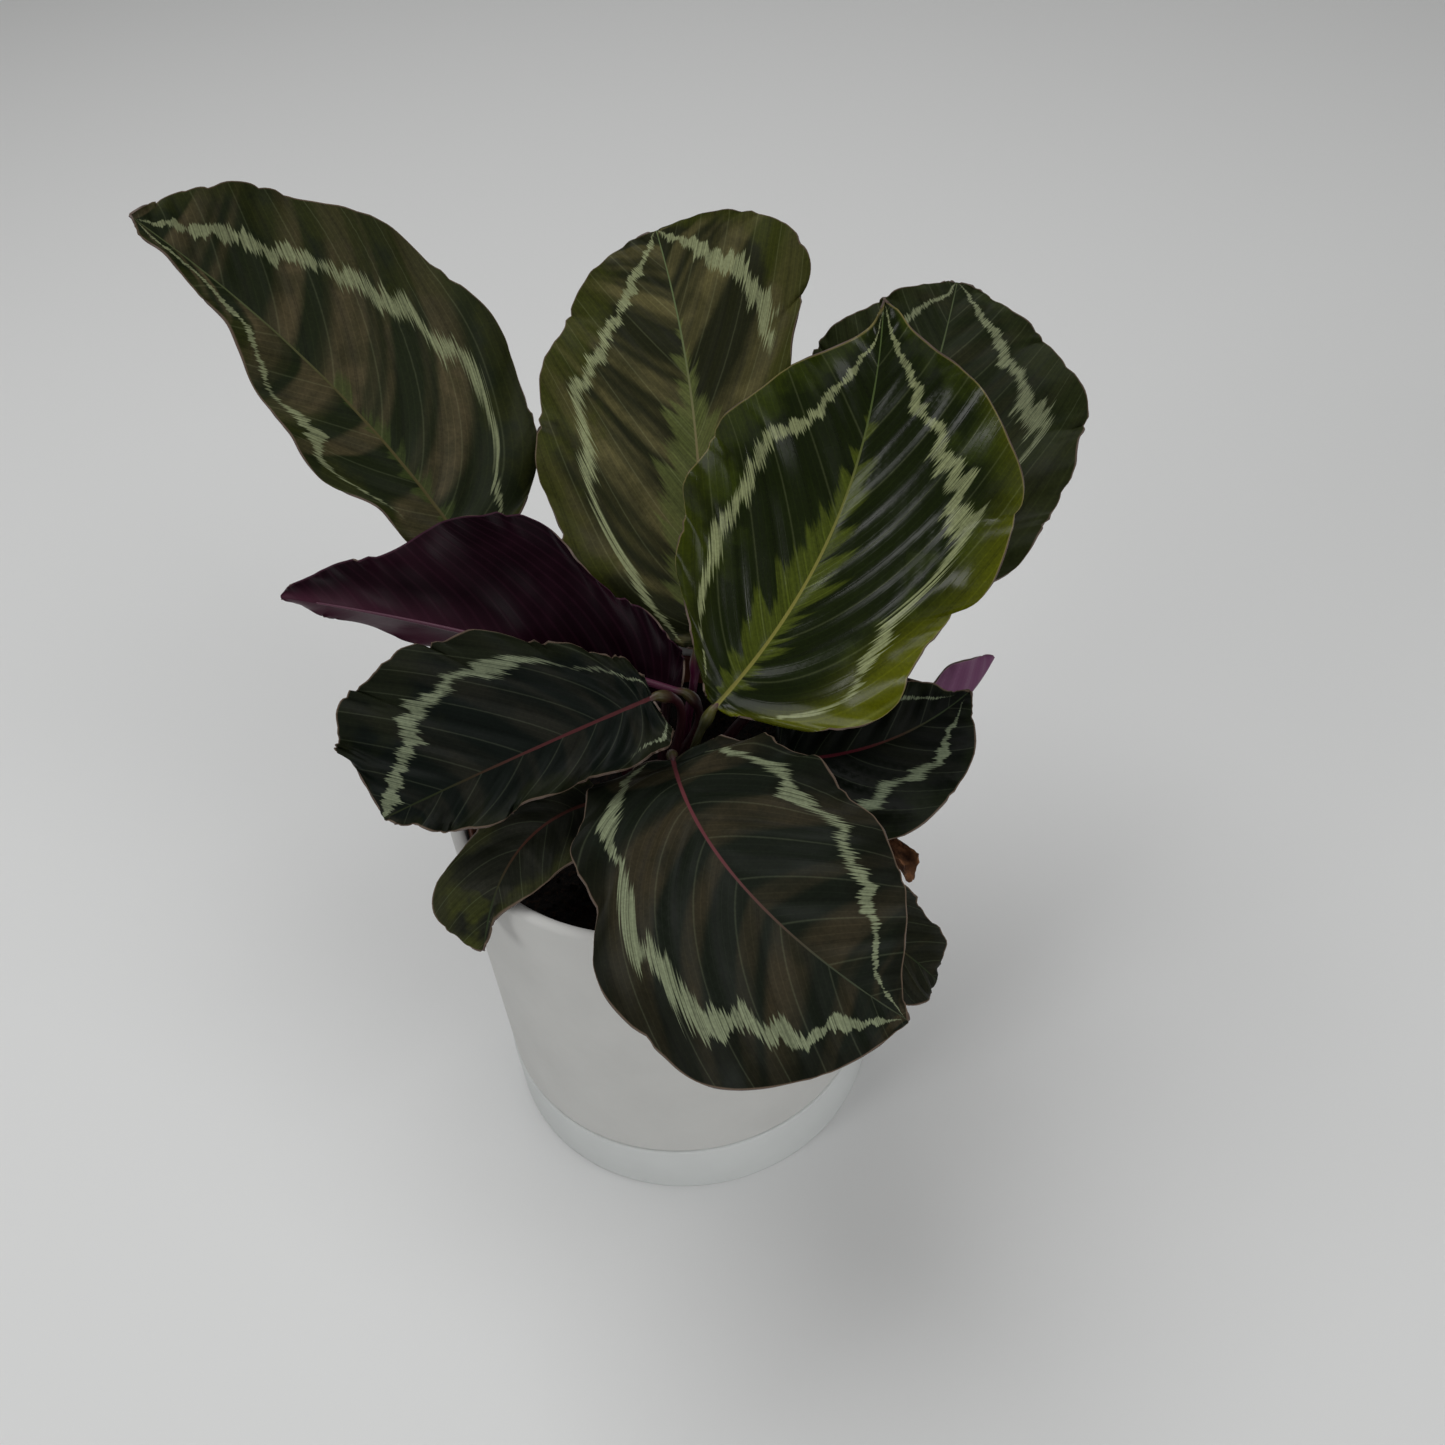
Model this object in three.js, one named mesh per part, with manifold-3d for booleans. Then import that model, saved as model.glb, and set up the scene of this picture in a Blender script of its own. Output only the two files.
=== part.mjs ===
// Potted medallion calathea: a matt white cover pot in its saucer, a nursery pot full of soil, and
// thirteen leaves, each a waved blade on its own petiole. Millimetres, +Z up. The origin is on the
// surface that the saucer stands on, under the middle of the pot, and -Y is the front.

import * as THREE from "three";
import { mergeVertices } from "three/addons/utils/BufferGeometryUtils.js";
import Module from "manifold-3d";

const wasm = await Module();
wasm.setup();

// Clearance between pieces that touch
const GAP = 0.3;
const ROUND_SIDES = 40;

// Saucer
const SAUCER_RADIUS = 66;
const SAUCER_HEIGHT = 24;
const SAUCER_WALL = 4;
const SAUCER_FLOOR = 4;
const SAUCER_ROUND = 1;

// Cover pot, which stands on a narrower foot inside the saucer
const POT_RADIUS = 65.5;
const POT_TOP = 144;
const POT_WALL = 4.2;
const POT_FLOOR_TOP = 16;
const FOOT_RADIUS = 61;
const DRAIN_RADIUS = 9;
const LIP_ROUND = 2;

// Nursery pot, which stands on the floor of the cover pot
const NURSERY_TOP = 138;
const NURSERY_TOP_RADIUS = 60.4;
const NURSERY_BASE_RADIUS = 45;
const NURSERY_WALL = 1.4;
const NURSERY_HOLE_RADIUS = 7;

// Soil, heaped a little round the stems, with lumps whose length is a wave of about 15 mm
const SOIL_TOP = 128;
const SOIL_RINGS = 6;
const SOIL_HEAP = 3;
const SOIL_LUMP = 0.8;
const LUMP_WAVE = 0.4;
const STEM_DEPTH = 12;
const HOLE_CLEARANCE = 0.6;

// Leaf blades: thickness, and the rows and columns that a face is divided into
const BLADE_THICKNESS = 0.9;
const LARGE_GRID = [28, 8];
const SMALL_GRID = [16, 6];
const LARGE_LEAF = 75;
// A blade ends this share of its margin short of the points at its base and tip
const BLUNT_BASE = 0.03;
const BLUNT_TIP = 0.015;
// A side vein leaves the midrib nearer the base than where it meets the margin, the more the larger
// the rake; halfway it has covered the share LEAN of its way along and ARCH of its way out
const VEIN_RAKE = 1.6;
const VEIN_LEAN = 0.3;
const VEIN_ARCH = 0.6;
// The waves of the margin die out towards the midrib, the faster the larger the power
const WAVE_POWER = 2.5;

// Petioles: the shares of its reach over which one rises and bends over, and how much its end lifts
const RISE_SHARE = 0.45;
const BEND_SHARE = 0.3;
const END_LIFT = 0.3;
const STALK_SIDES = 7;
const STALK_STEPS = 9;
const STALK_FOOT_RADIUS = 2.2;
const STALK_TOP_RADIUS = 1.3;
const KNOB_RADIUS = 1.9;
const KNOB_LENGTH = 7;
const KNOB_GAP = 1.1;

// Finishes
const MATT_WHITE = { color: 0xdcdcd8, roughness: 0.6 };
const SAUCER_WHITE = { color: 0xd3d9d8, roughness: 0.55 };
const BROWN_PLASTIC = { color: 0x5a3a2c, roughness: 0.5 };
const DARK_SOIL = { color: 0x17120f, roughness: 0.95 };
const DARK_GREEN = { color: 0x22301c, roughness: 0.45 };
const OLIVE_GREEN = { color: 0x46561c, roughness: 0.3 };
const BURGUNDY = { color: 0x3a1224, roughness: 0.5 };
const DRY_BROWN = { color: 0x6b4a2e, roughness: 0.8 };
const STALK_RED = { color: 0x5c2433, roughness: 0.45 };

// One side of a blade: its half widths at even steps of the margin from base to tip, the reach of
// its lobe back past the base and of its shoulder on towards the tip, the fold at the midrib and
// the curl out to the margin, at the base and at the tip of the leaf, in degrees, positive towards
// the upper face, and where in their cycle the waves of the margin start
const SIDE = { lobe: 16, shoulder: 0, fold: 8, curl: [10, 10], phase: 0 };

// A leaf: the base and tip of its midrib, where its upper face looks (azimuth from the front,
// positive to the right, and elevation, in degrees), how far the midrib bows towards that face and
// sways to its left, the sides, the waves of each margin with their height, and the place in the
// soil that its petiole grows from
const LEAF = {
  bow: 0,
  sway: 0,
  waves: 6,
  wave: 2.4,
  scallop: 1,
  foot: STALK_FOOT_RADIUS,
  finish: DARK_GREEN,
};
const LEAVES = {
  back_left: {
    base: [-50, 49, 197], tip: [-136, 106, 290], faces: [40, 50], bow: -10, sway: -12,
    left: { widths: [38, 28, 22, 27, 19, 8, 8, 0], phase: 0.5 },
    right: { widths: [48, 50, 52, 54, 52, 46, 36, 8], phase: 0.5 },
    root: [-8, 11],
  },
  back_middle: {
    base: [17, 13, 182], tip: [17, 121, 262], faces: [-15, 44], bow: -1, sway: -6,
    left: { widths: [22, 32, 45, 48, 49, 47, 47, 54], phase: 0.25 },
    right: { widths: [26, 26, 26, 26, 34, 57, 70, 64], phase: 0.75 },
    root: [6, 8],
    foot: 3.2,
  },
  new_right: {
    base: [21, -6, 176], tip: [77, 42, 276], faces: [-12, 51], bow: -11, sway: -10, waves: 7,
    left: { widths: [26, 22, 37, 43, 43, 34, 5, 0], phase: 0.75 },
    right: { widths: [22, 27, 48, 43, 52, 48, 18, 0], phase: 0.5 },
    root: [12, 1],
    finish: OLIVE_GREEN,
  },
  back_right: {
    base: [63, 20, 190], tip: [108, 96, 248], faces: [-15, 53], bow: -4, sway: -3, waves: 7,
    left: { widths: [22, 30, 42, 44, 41, 36, 27], phase: 0.25 },
    right: { widths: [43, 45, 49, 50, 52, 38, 24], phase: 0.5 },
    root: [14, 8],
  },
  burgundy_left: {
    base: [11, 2, 176], tip: [-109, 41, 195], faces: [180, -25], bow: -4, sway: 4,
    left: { widths: [30, 27, 26, 38, 22, 15, 9], lobe: 20, phase: 0.5 },
    right: { widths: [26, 24, 20, 18, 15, 11, 7], lobe: 20, fold: 45 },
    root: [-2, 4],
    finish: BURGUNDY,
  },
  front_left: {
    base: [3, -8, 184], tip: [-76, -32, 170], faces: [-5, 52], bow: 3, waves: 8,
    left: { widths: [22, 26, 22, 15, 17, 10, 6], lobe: 45, fold: -20, curl: [120, 80] },
    right: { widths: [22, 22, 27, 40, 42, 46, 110], lobe: 28, shoulder: 64, phase: 0.5 },
    root: [-1, -4],
  },
  small_left: {
    base: [-15, -15, 150], tip: [-53, -55, 134], faces: [-21, 52], bow: 12, sway: -7, waves: 4,
    left: { widths: [24, 23, 20, 11, 2, 0], phase: 0.5 },
    right: { widths: [12, 11, 11, 16, 23, 17], phase: 0.25 },
    root: [-8, -4],
  },
  front: {
    base: [7, -16, 166], tip: [63, -104, 152], faces: [7, 57], bow: 14, sway: -11,
    left: { widths: [42, 42, 40, 40, 39, 37, 15, 0], phase: 0.5 },
    right: { widths: [46, 44, 40, 40, 50, 49, 30, 6] },
    root: [8, -7],
  },
  right: {
    base: [37, -15, 160], tip: [97, -4, 170], faces: [10, 60], bow: 6, sway: -7, waves: 5,
    left: { widths: [38, 35, 28, 19, 9, 0], phase: 0.5 },
    right: { widths: [38, 37, 33, 28, 15, 2], phase: 0.5 },
    root: [18, -4],
  },
  right_rolled: {
    base: [60, 6, 147], tip: [109, 17, 163], faces: [0, 37], sway: -10, waves: 4,
    left: { widths: [14, 19, 19, 13, 7, 3] },
    right: { widths: [4, 8, 13, 20, 23, 20], fold: 132 },
    root: [19, 4],
  },
  small_right: {
    base: [38, -56, 148], tip: [77, -71, 120], faces: [55, 52], bow: 5, waves: 4,
    left: { widths: [4, 9, 14, 16, 17, 13] },
    right: { widths: [12, 16, 18, 18, 18, 14] },
    root: [13, -11],
  },
  dry_right: {
    base: [58, -31, 147.5], tip: [73, -50, 141], faces: [50, 60], bow: 2, waves: 3,
    left: { widths: [4, 7, 7, 5], curl: [60, 140] },
    right: { widths: [4, 7, 7, 5], curl: [80, 120] },
    root: [20, -10],
    finish: DRY_BROWN,
  },
  hidden_back: {
    base: [4, 45, 160], tip: [-24, 112, 205], faces: [10, 40], bow: -4, waves: 5,
    left: { widths: [18, 22, 24, 26, 24, 14], curl: [100, 170] },
    right: { widths: [18, 22, 24, 24, 20, 12] },
    root: [1, 14],
  },
};

const UP = new THREE.Vector3(0, 0, 1);
const radians = THREE.MathUtils.degToRad;
const { lerp, clamp } = THREE.MathUtils;

const part = new THREE.Group();

function add(name, geometry, finish) {
  const mesh = new THREE.Mesh(geometry, new THREE.MeshStandardMaterial({ metalness: 0, ...finish }));
  mesh.name = name;
  part.add(mesh);
}

// The direction with an azimuth from the front and an elevation, in degrees
function direction([azimuth, elevation]) {
  const [a, e] = [radians(azimuth), radians(elevation)];
  return new THREE.Vector3(Math.sin(a) * Math.cos(e), -Math.cos(a) * Math.cos(e), Math.sin(e));
}

// A smooth value through evenly spaced ones, at the share t of the way along them
function along(values, t) {
  const last = values.length - 1;
  const i = Math.min(Math.floor(t * last), last - 1);
  const f = t * last - i;
  const [p, q, r, s] = [-1, 0, 1, 2].map((step) => values[clamp(i + step, 0, last)]);
  return q + 0.5 * f * (r - p + f * (2 * p - 5 * q + 4 * r - s + f * (3 * (q - r) + s - p)));
}

// Solids for cutting one geometry by another
function toSolid(geometry) {
  const bare = geometry.clone().deleteAttribute("normal").deleteAttribute("uv");
  const merged = mergeVertices(bare, 1e-4);
  return new wasm.Manifold(
    new wasm.Mesh({
      numProp: 3,
      vertProperties: merged.attributes.position.array,
      triVerts: new Uint32Array(merged.index.array),
    }),
  );
}

function toGeometry(solid) {
  const { vertProperties, triVerts } = solid.getMesh();
  const geometry = new THREE.BufferGeometry();
  geometry.setAttribute("position", new THREE.BufferAttribute(vertProperties, 3));
  geometry.setIndex(new THREE.BufferAttribute(triVerts, 1));
  return geometry;
}

// A turned piece whose profile is a closed loop of [radius, height], anticlockwise
function turned(profile, sides = ROUND_SIDES) {
  const points = [...profile, profile[0]].map(([r, z]) => new THREE.Vector2(r, z));
  return new THREE.LatheGeometry(points, sides).rotateX(Math.PI / 2);
}

// Points of a quarter round from one angle to another, in degrees
function round([r, z], radius, from, to, steps = 3) {
  return Array.from({ length: steps + 1 }, (_, i) => {
    const a = radians(lerp(from, to, i / steps));
    return [r + radius * Math.cos(a), z + radius * Math.sin(a)];
  });
}

function saucer() {
  const inside = SAUCER_RADIUS - SAUCER_WALL;
  const r = SAUCER_ROUND;
  return turned([
    [0, 0],
    ...round([SAUCER_RADIUS - r, r], r, -90, 0),
    ...round([SAUCER_RADIUS - r, SAUCER_HEIGHT - r], r, 0, 90),
    [inside, SAUCER_HEIGHT],
    [inside, SAUCER_FLOOR],
    [0, SAUCER_FLOOR],
  ]);
}

// The body stops short of the saucer's rim, and its foot goes on down to the saucer's floor
function pot() {
  const inside = POT_RADIUS - POT_WALL;
  const shoulder = SAUCER_HEIGHT + GAP;
  const r = LIP_ROUND;
  return turned([
    [DRAIN_RADIUS, SAUCER_FLOOR + GAP],
    [FOOT_RADIUS, SAUCER_FLOOR + GAP],
    [FOOT_RADIUS, shoulder],
    ...round([POT_RADIUS - SAUCER_ROUND, shoulder + SAUCER_ROUND], SAUCER_ROUND, -90, 0),
    ...round([POT_RADIUS - r, POT_TOP - r], r, 0, 90),
    ...round([inside + r, POT_TOP - r], r, 90, 180),
    [inside, POT_FLOOR_TOP],
    [DRAIN_RADIUS, POT_FLOOR_TOP],
  ]);
}

function nurseryPot() {
  const base = POT_FLOOR_TOP + GAP;
  return turned([
    [NURSERY_HOLE_RADIUS, base],
    [NURSERY_BASE_RADIUS, base],
    [NURSERY_TOP_RADIUS, NURSERY_TOP],
    [NURSERY_TOP_RADIUS - NURSERY_WALL, NURSERY_TOP],
    [NURSERY_BASE_RADIUS - NURSERY_WALL, base + NURSERY_WALL],
    [NURSERY_HOLE_RADIUS, base + NURSERY_WALL],
  ]);
}

// Soil that fills the nursery pot, lumpy on top, with a plain hole for each stem
function soil(stems) {
  const low = POT_FLOOR_TOP + NURSERY_WALL + 2 * GAP;
  const slope = (NURSERY_TOP_RADIUS - NURSERY_BASE_RADIUS) / (NURSERY_TOP - POT_FLOOR_TOP);
  const radiusAt = (z) => NURSERY_BASE_RADIUS - NURSERY_WALL - 2 * GAP + slope * (z - POT_FLOOR_TOP);
  const edge = radiusAt(SOIL_TOP);
  const profile = [[0, low], [radiusAt(low), low]];
  for (let i = SOIL_RINGS; i >= 0; i--) profile.push([(edge * i) / SOIL_RINGS, SOIL_TOP]);
  const points = profile.map(([r, z]) => new THREE.Vector2(r, z));
  const heap = new THREE.LatheGeometry(points, ROUND_SIDES / 2).rotateX(Math.PI / 2);
  const place = heap.attributes.position;
  for (let i = 0; i < place.count; i++) {
    const [x, y] = [place.getX(i) * LUMP_WAVE, place.getY(i) * LUMP_WAVE];
    const inner = 1 - (place.getX(i) ** 2 + place.getY(i) ** 2) / edge ** 2;
    if (place.getZ(i) < SOIL_TOP - GAP || inner < 0.01) continue;
    const lump = Math.sin(x + 1) * Math.cos(y) + Math.sin((x - y) / 2);
    place.setZ(i, SOIL_TOP + SOIL_HEAP * inner + SOIL_LUMP * lump * Math.min(1, 3 * inner));
  }
  let body = toSolid(heap);
  for (const stem of stems) body = body.subtract(toSolid(stem));
  return toGeometry(body);
}

// The midrib of a leaf, and the direction of its upper face there
function midrib(leaf) {
  const [base, tip] = [new THREE.Vector3(...leaf.base), new THREE.Vector3(...leaf.tip)];
  const chord = tip.clone().sub(base).normalize();
  const upper = direction(leaf.faces).projectOnPlane(chord).normalize();
  const left = upper.clone().cross(chord);
  const middle = base.clone().add(tip).divideScalar(2);
  middle.addScaledVector(upper, 2 * leaf.bow).addScaledVector(left, 2 * leaf.sway);
  const curve = new THREE.QuadraticBezierCurve3(base, middle, tip);
  return { curve, upper, length: curve.getLength() };
}

// The point of a blade's middle surface where the side vein that ends at the share t of the margin
// has covered the share |v| of its way, with v positive on the left and negative on the right
function bladePoint(leaf, rib, t, v) {
  const side = { ...SIDE, ...(v < 0 ? leaf.right : leaf.left) };
  const way = Math.abs(v);
  const swell = Math.sin(Math.PI * t);
  const share = (1 - Math.cos(Math.PI * t)) / 2;
  const cycle = 2 * Math.PI * (leaf.waves * t + side.phase);

  // The vein in the flattened blade: from its root on the midrib, it arches out to the margin
  const rootX = rib.length * share ** VEIN_RAKE;
  const push = swell ** 2 * (side.shoulder * t ** 3 - side.lobe * (1 - t) ** 3);
  const endX = rib.length * share + push;
  const endY = along(side.widths, t) * swell + leaf.scallop * swell * Math.cos(cycle);
  const [start, halfway, end] = [(1 - way) ** 2, 2 * (1 - way) * way, way ** 2];
  const x = start * rootX + halfway * lerp(rootX, endX, VEIN_LEAN) + end * endX;
  const y = (halfway * VEIN_ARCH + end) * endY;

  // The place on the midrib, run on straight past its ends
  const on = clamp(x, 0, rib.length);
  const ahead = rib.curve.getTangentAt(on / rib.length);
  const point = rib.curve.getPointAt(on / rib.length).addScaledVector(ahead, x - on);
  const upper = rib.upper.clone().projectOnPlane(ahead).normalize();
  const left = upper.clone().cross(ahead);

  // Out from the midrib the surface turns from its fold by its curl, along a circular arc
  const reach = Math.max(...side.widths);
  const fold = radians(side.fold);
  const curl = radians(lerp(side.curl[0], side.curl[1], t)) + 1e-4;
  const turn = fold + (curl * y) / reach;
  const out = (reach * (Math.sin(turn) - Math.sin(fold))) / curl;
  const rise = (reach * (Math.cos(fold) - Math.cos(turn))) / curl;
  const ripple = leaf.wave * way ** WAVE_POWER * Math.sqrt(swell) * Math.sin(cycle);
  return point.addScaledVector(left, Math.sign(v) * out).addScaledVector(upper, rise + ripple);
}

// A blade: its middle surface given a thickness, with both faces divided alike
function blade(leaf) {
  const rib = midrib(leaf);
  const [rows, columns] = rib.length > LARGE_LEAF ? LARGE_GRID : SMALL_GRID;
  const at = (row, column) => row * (columns + 1) + column;
  const points = [];
  for (let row = 0; row <= rows; row++)
    for (let column = 0; column <= columns; column++) {
      const t = lerp(BLUNT_BASE, 1 - BLUNT_TIP, row / rows);
      points.push(...bladePoint(leaf, rib, t, (2 * column) / columns - 1).toArray());
    }
  const face = [];
  for (let row = 0; row < rows; row++)
    for (let column = 0; column < columns; column++) {
      const [a, b] = [at(row, column), at(row + 1, column)];
      face.push(a, b, b + 1, a, b + 1, a + 1);
    }
  const middle = new THREE.BufferGeometry();
  middle.setAttribute("position", new THREE.Float32BufferAttribute(points, 3));
  middle.setIndex(face);
  middle.computeVertexNormals();

  const normals = middle.attributes.normal.array;
  const shifted = (distance) => points.map((value, i) => value + distance * normals[i]);
  const half = BLADE_THICKNESS / 2;
  const under = points.length / 3;
  const index = [...face];
  for (let i = 0; i < face.length; i += 3)
    index.push(face[i] + under, face[i + 2] + under, face[i + 1] + under);
  const edge = [];
  for (let row = 0; row < rows; row++) edge.push(at(row, 0));
  for (let column = 0; column < columns; column++) edge.push(at(rows, column));
  for (let row = rows; row > 0; row--) edge.push(at(row, columns));
  for (let column = columns; column > 0; column--) edge.push(at(0, column));
  edge.forEach((a, i) => {
    const b = edge[(i + 1) % edge.length];
    index.push(b, a, a + under, b, a + under, b + under);
  });
  const geometry = new THREE.BufferGeometry();
  const position = [...shifted(half), ...shifted(-half)];
  geometry.setAttribute("position", new THREE.Float32BufferAttribute(position, 3));
  geometry.setIndex(index);
  return geometry;
}

// A turned rod bent along a curve, with its radius given by the share of the way along it, and
// made longer at its start
function rod(curve, radiusAt, longer) {
  const length = curve.getLength();
  const profile = [new THREE.Vector2(0, -longer), new THREE.Vector2(radiusAt(0), -longer)];
  for (let i = 1; i <= STALK_STEPS; i++) {
    const share = i / STALK_STEPS;
    profile.push(new THREE.Vector2(radiusAt(share), length * share));
  }
  profile.push(new THREE.Vector2(0, length));
  const geometry = new THREE.LatheGeometry(profile, STALK_SIDES);
  const place = geometry.attributes.position;
  const straight = new THREE.Vector3(0, 1, 0);
  for (let i = 0; i < place.count; i++) {
    const [x, y, z] = [place.getX(i), place.getY(i), place.getZ(i)];
    const share = clamp(y / length, 0, 1);
    const turn = new THREE.Quaternion().setFromUnitVectors(straight, curve.getTangentAt(share));
    const offset = new THREE.Vector3(x, Math.min(y, 0), z).applyQuaternion(turn);
    place.setXYZ(i, ...offset.add(curve.getPointAt(share)).toArray());
  }
  return geometry;
}

// The way of a petiole: straight up out of the soil, and over into the line of the midrib
function petioleCurve(leaf) {
  const ahead = midrib(leaf).curve.getTangentAt(0);
  const end = new THREE.Vector3(...leaf.base).addScaledVector(ahead, -KNOB_GAP);
  const start = new THREE.Vector3(...leaf.root, SOIL_TOP - STEM_DEPTH);
  const reach = start.distanceTo(end);
  const rising = start.clone().addScaledVector(UP, RISE_SHARE * reach);
  const arrival = ahead.lerp(UP, END_LIFT).normalize();
  const bending = end.clone().addScaledVector(arrival, -BEND_SHARE * reach);
  return new THREE.CubicBezierCurve3(start, rising, bending, end);
}

// A petiole, broad where it clasps the crown and with a swollen knob under the blade; its hole in
// the soil is the same piece with a clearance all round
function petiole(leaf, clearance = 0) {
  const curve = petioleCurve(leaf);
  const knob = 1 - KNOB_LENGTH / curve.getLength();
  const radiusAt = (share) => {
    const stalk = lerp(leaf.foot, STALK_TOP_RADIUS, Math.min(1, 1.3 * share));
    const swelling = Math.sin(Math.PI * clamp((share - knob) / (1 - knob), 0, 1));
    return clearance + lerp(stalk, KNOB_RADIUS, swelling);
  };
  return rod(curve, radiusAt, clearance);
}

add("saucer", saucer(), SAUCER_WHITE);
add("pot", pot(), MATT_WHITE);
add("nursery_pot", nurseryPot(), BROWN_PLASTIC);
const leaves = Object.entries(LEAVES).map(([name, leaf]) => [name, { ...LEAF, ...leaf }]);
add("soil", soil(leaves.map(([, leaf]) => petiole(leaf, HOLE_CLEARANCE))), DARK_SOIL);
for (const [name, leaf] of leaves) {
  add(`petiole_${name}`, petiole(leaf), STALK_RED);
  add(`blade_${name}`, blade(leaf), leaf.finish);
}

export default part;
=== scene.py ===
"""Potted medallion calathea: finer pieces and finishes for its leaves, stalks, soil and pots.

Lengths of the leaves and the soil are written in millimetres, as the plant was measured, and
turned to metres where a mesh is made. Those of the pots and the studio are in metres. +Z is up
and -Y is the front.
"""

import logging
import math
import random
from bisect import bisect_right
from collections.abc import Callable, Sequence
from dataclasses import dataclass, replace
from enum import Enum

import bpy
from mathutils import Matrix, Vector, noise


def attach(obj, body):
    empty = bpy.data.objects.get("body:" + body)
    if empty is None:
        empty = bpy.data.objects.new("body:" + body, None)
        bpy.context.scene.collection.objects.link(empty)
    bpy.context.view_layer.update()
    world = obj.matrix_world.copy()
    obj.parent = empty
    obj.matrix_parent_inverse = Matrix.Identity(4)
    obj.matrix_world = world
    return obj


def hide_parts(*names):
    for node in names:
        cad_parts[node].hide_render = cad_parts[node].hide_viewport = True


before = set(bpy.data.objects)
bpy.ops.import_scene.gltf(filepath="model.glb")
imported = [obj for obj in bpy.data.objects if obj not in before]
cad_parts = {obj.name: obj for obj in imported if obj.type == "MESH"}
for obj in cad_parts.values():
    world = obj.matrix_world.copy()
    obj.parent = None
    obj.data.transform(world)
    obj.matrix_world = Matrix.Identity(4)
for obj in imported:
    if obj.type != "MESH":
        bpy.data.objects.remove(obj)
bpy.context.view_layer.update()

log = logging.getLogger("calathea")

MM = 0.001
# A leaf's UV maps: the side vein and the way across; the distances from the midrib and to the
# margin; how far off the ring's middle and the ring's half width; how far off the feather's edge
# and the share of the margin
VEIN_MAP = "Veins"
REACH_MAP = "Reach"
RING_MAP = "Ring"
ZONE_MAP = "Zones"

# Settings of nodes that the finishes share
ADD = {"operation": "ADD"}
SUBTRACT = {"operation": "SUBTRACT"}
MULTIPLY = {"operation": "MULTIPLY"}
MULTIPLY_ADD = {"operation": "MULTIPLY_ADD"}
PINGPONG = {"operation": "PINGPONG"}
SCALE = {"operation": "SCALE"}
SMOOTH = {"interpolation_type": "SMOOTHSTEP"}
RGBA = {"data_type": "RGBA"}
# Nearly all values of a noise lie between these
NOISE_SPREAD = (0.3, 0.7)
# How much a plant's waxy skin bends light
CUTICLE_IOR = 1.42

# How a blade's side veins run, and how its waves and frills die out towards the midrib
VEIN_RAKE = 1.6
VEIN_LEAN = 0.3
VEIN_ARCH = 0.6
WAVE_POWER = 2.5
FRILL_POWER = 6
# The lowest veins fan out to an angle, over a share of the midrib, and all stay between two more
FAN_ANGLE = 100
FAN_SHARE = 0.1
LEAST_ANGLE = 12.0
GREATEST_ANGLE = 130.0
# Over these distances from the midrib the pleats and blisters grow to their full height
PLEAT_REACH = 6
BLISTER_REACH = 8
BLISTER_SIZE = 24
GROOVE_DEPTH = 0.45
GROOVE_WIDTH = 1.3
# A blade ends this share of its margin short of the points at its base and tip
BLUNT_BASE = 0.03
BLUNT_TIP = 0.015
BLADE_THICKNESS = 0.6
# A blade's columns crowd towards its midrib, and a rib's rows towards its base
COLUMN_CROWDING = 1.4
ROW_CROWDING = 1.2

# The shares of its reach over which a petiole rises and bends over, and how much its end lifts
RISE_SHARE = 0.45
BEND_SHARE = 0.3
END_LIFT = 0.3
SOIL_TOP = 128
STEM_DEPTH = 12
KNOB_LENGTH = 7
KNOB_GAP = 1.1
# Radii of a petiole at its top and knob, and of its rib at the blade's base and at its far end
STALK_RADIUS = 1.3
KNOB_RADIUS = 1.9
RIB_RADII = (1.2, 0.32)
# How fast a petiole tapers, how far its rib runs under the blade, and how it sinks into it
TAPER = 1.3
RIB_REACH = 0.9
RIB_DROP = 0.25
RIB_SINK = 0.6
STALK_STEPS = 48
RIB_STEPS = 40

Tree = bpy.types.NodeTree
Node = bpy.types.Node
Socket = bpy.types.NodeSocket
Material = bpy.types.Material
Piece = bpy.types.Object
Place = tuple[float, float, float]
Row = tuple[float, ...]


class Slot(Enum):
    """The record's material slots, which the pieces are logged with."""

    SAUCER = "saucer"
    POT = "pot"
    NURSERY_POT = "nursery_pot"
    SOIL = "soil"
    PETIOLE = "petiole"
    LEAF = "leaf"
    NEW_LEAF = "new_leaf"
    DRY_LEAF = "dry_leaf"


def linear(code: int) -> tuple[float, float, float, float]:
    """Turn an sRGB hex colour to a linear one.

    Args:
        code: The colour, such as 0x22301c.

    Returns:
        Its linear red, green and blue, and full alpha.
    """
    channels = [(code >> shift & 255) / 255 for shift in (16, 8, 0)]
    curve = [c / 12.92 if c <= 0.04045 else ((c + 0.055) / 1.055) ** 2.4 for c in channels]
    return (*curve, 1.0)


def put(
    tree: Tree,
    kind: str,
    settings: dict[str, object] | None = None,
    inputs: dict[str | int, object] | Sequence[object] = (),
) -> Node:
    """Add a node with its settings, and set or link its inputs.

    Args:
        tree: The node tree of a material or world.
        kind: The node's type, such as "ShaderNodeMath".
        settings: The node's own properties.
        inputs: What goes into its input sockets, from the first on or by name or place: a number,
            a colour, a socket to link from, or a node whose first output is linked.

    Returns:
        The new node.
    """
    node = tree.nodes.new(kind)
    for name, value in (settings or {}).items():
        setattr(node, name, value)
    sockets = inputs if isinstance(inputs, dict) else dict(enumerate(inputs))
    for name, value in sockets.items():
        if isinstance(value, Node):
            value = next(out for out in value.outputs if out.enabled)
        if isinstance(value, Socket):
            tree.links.new(value, node.inputs[name])
        else:
            node.inputs[name].default_value = value
    return node


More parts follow.
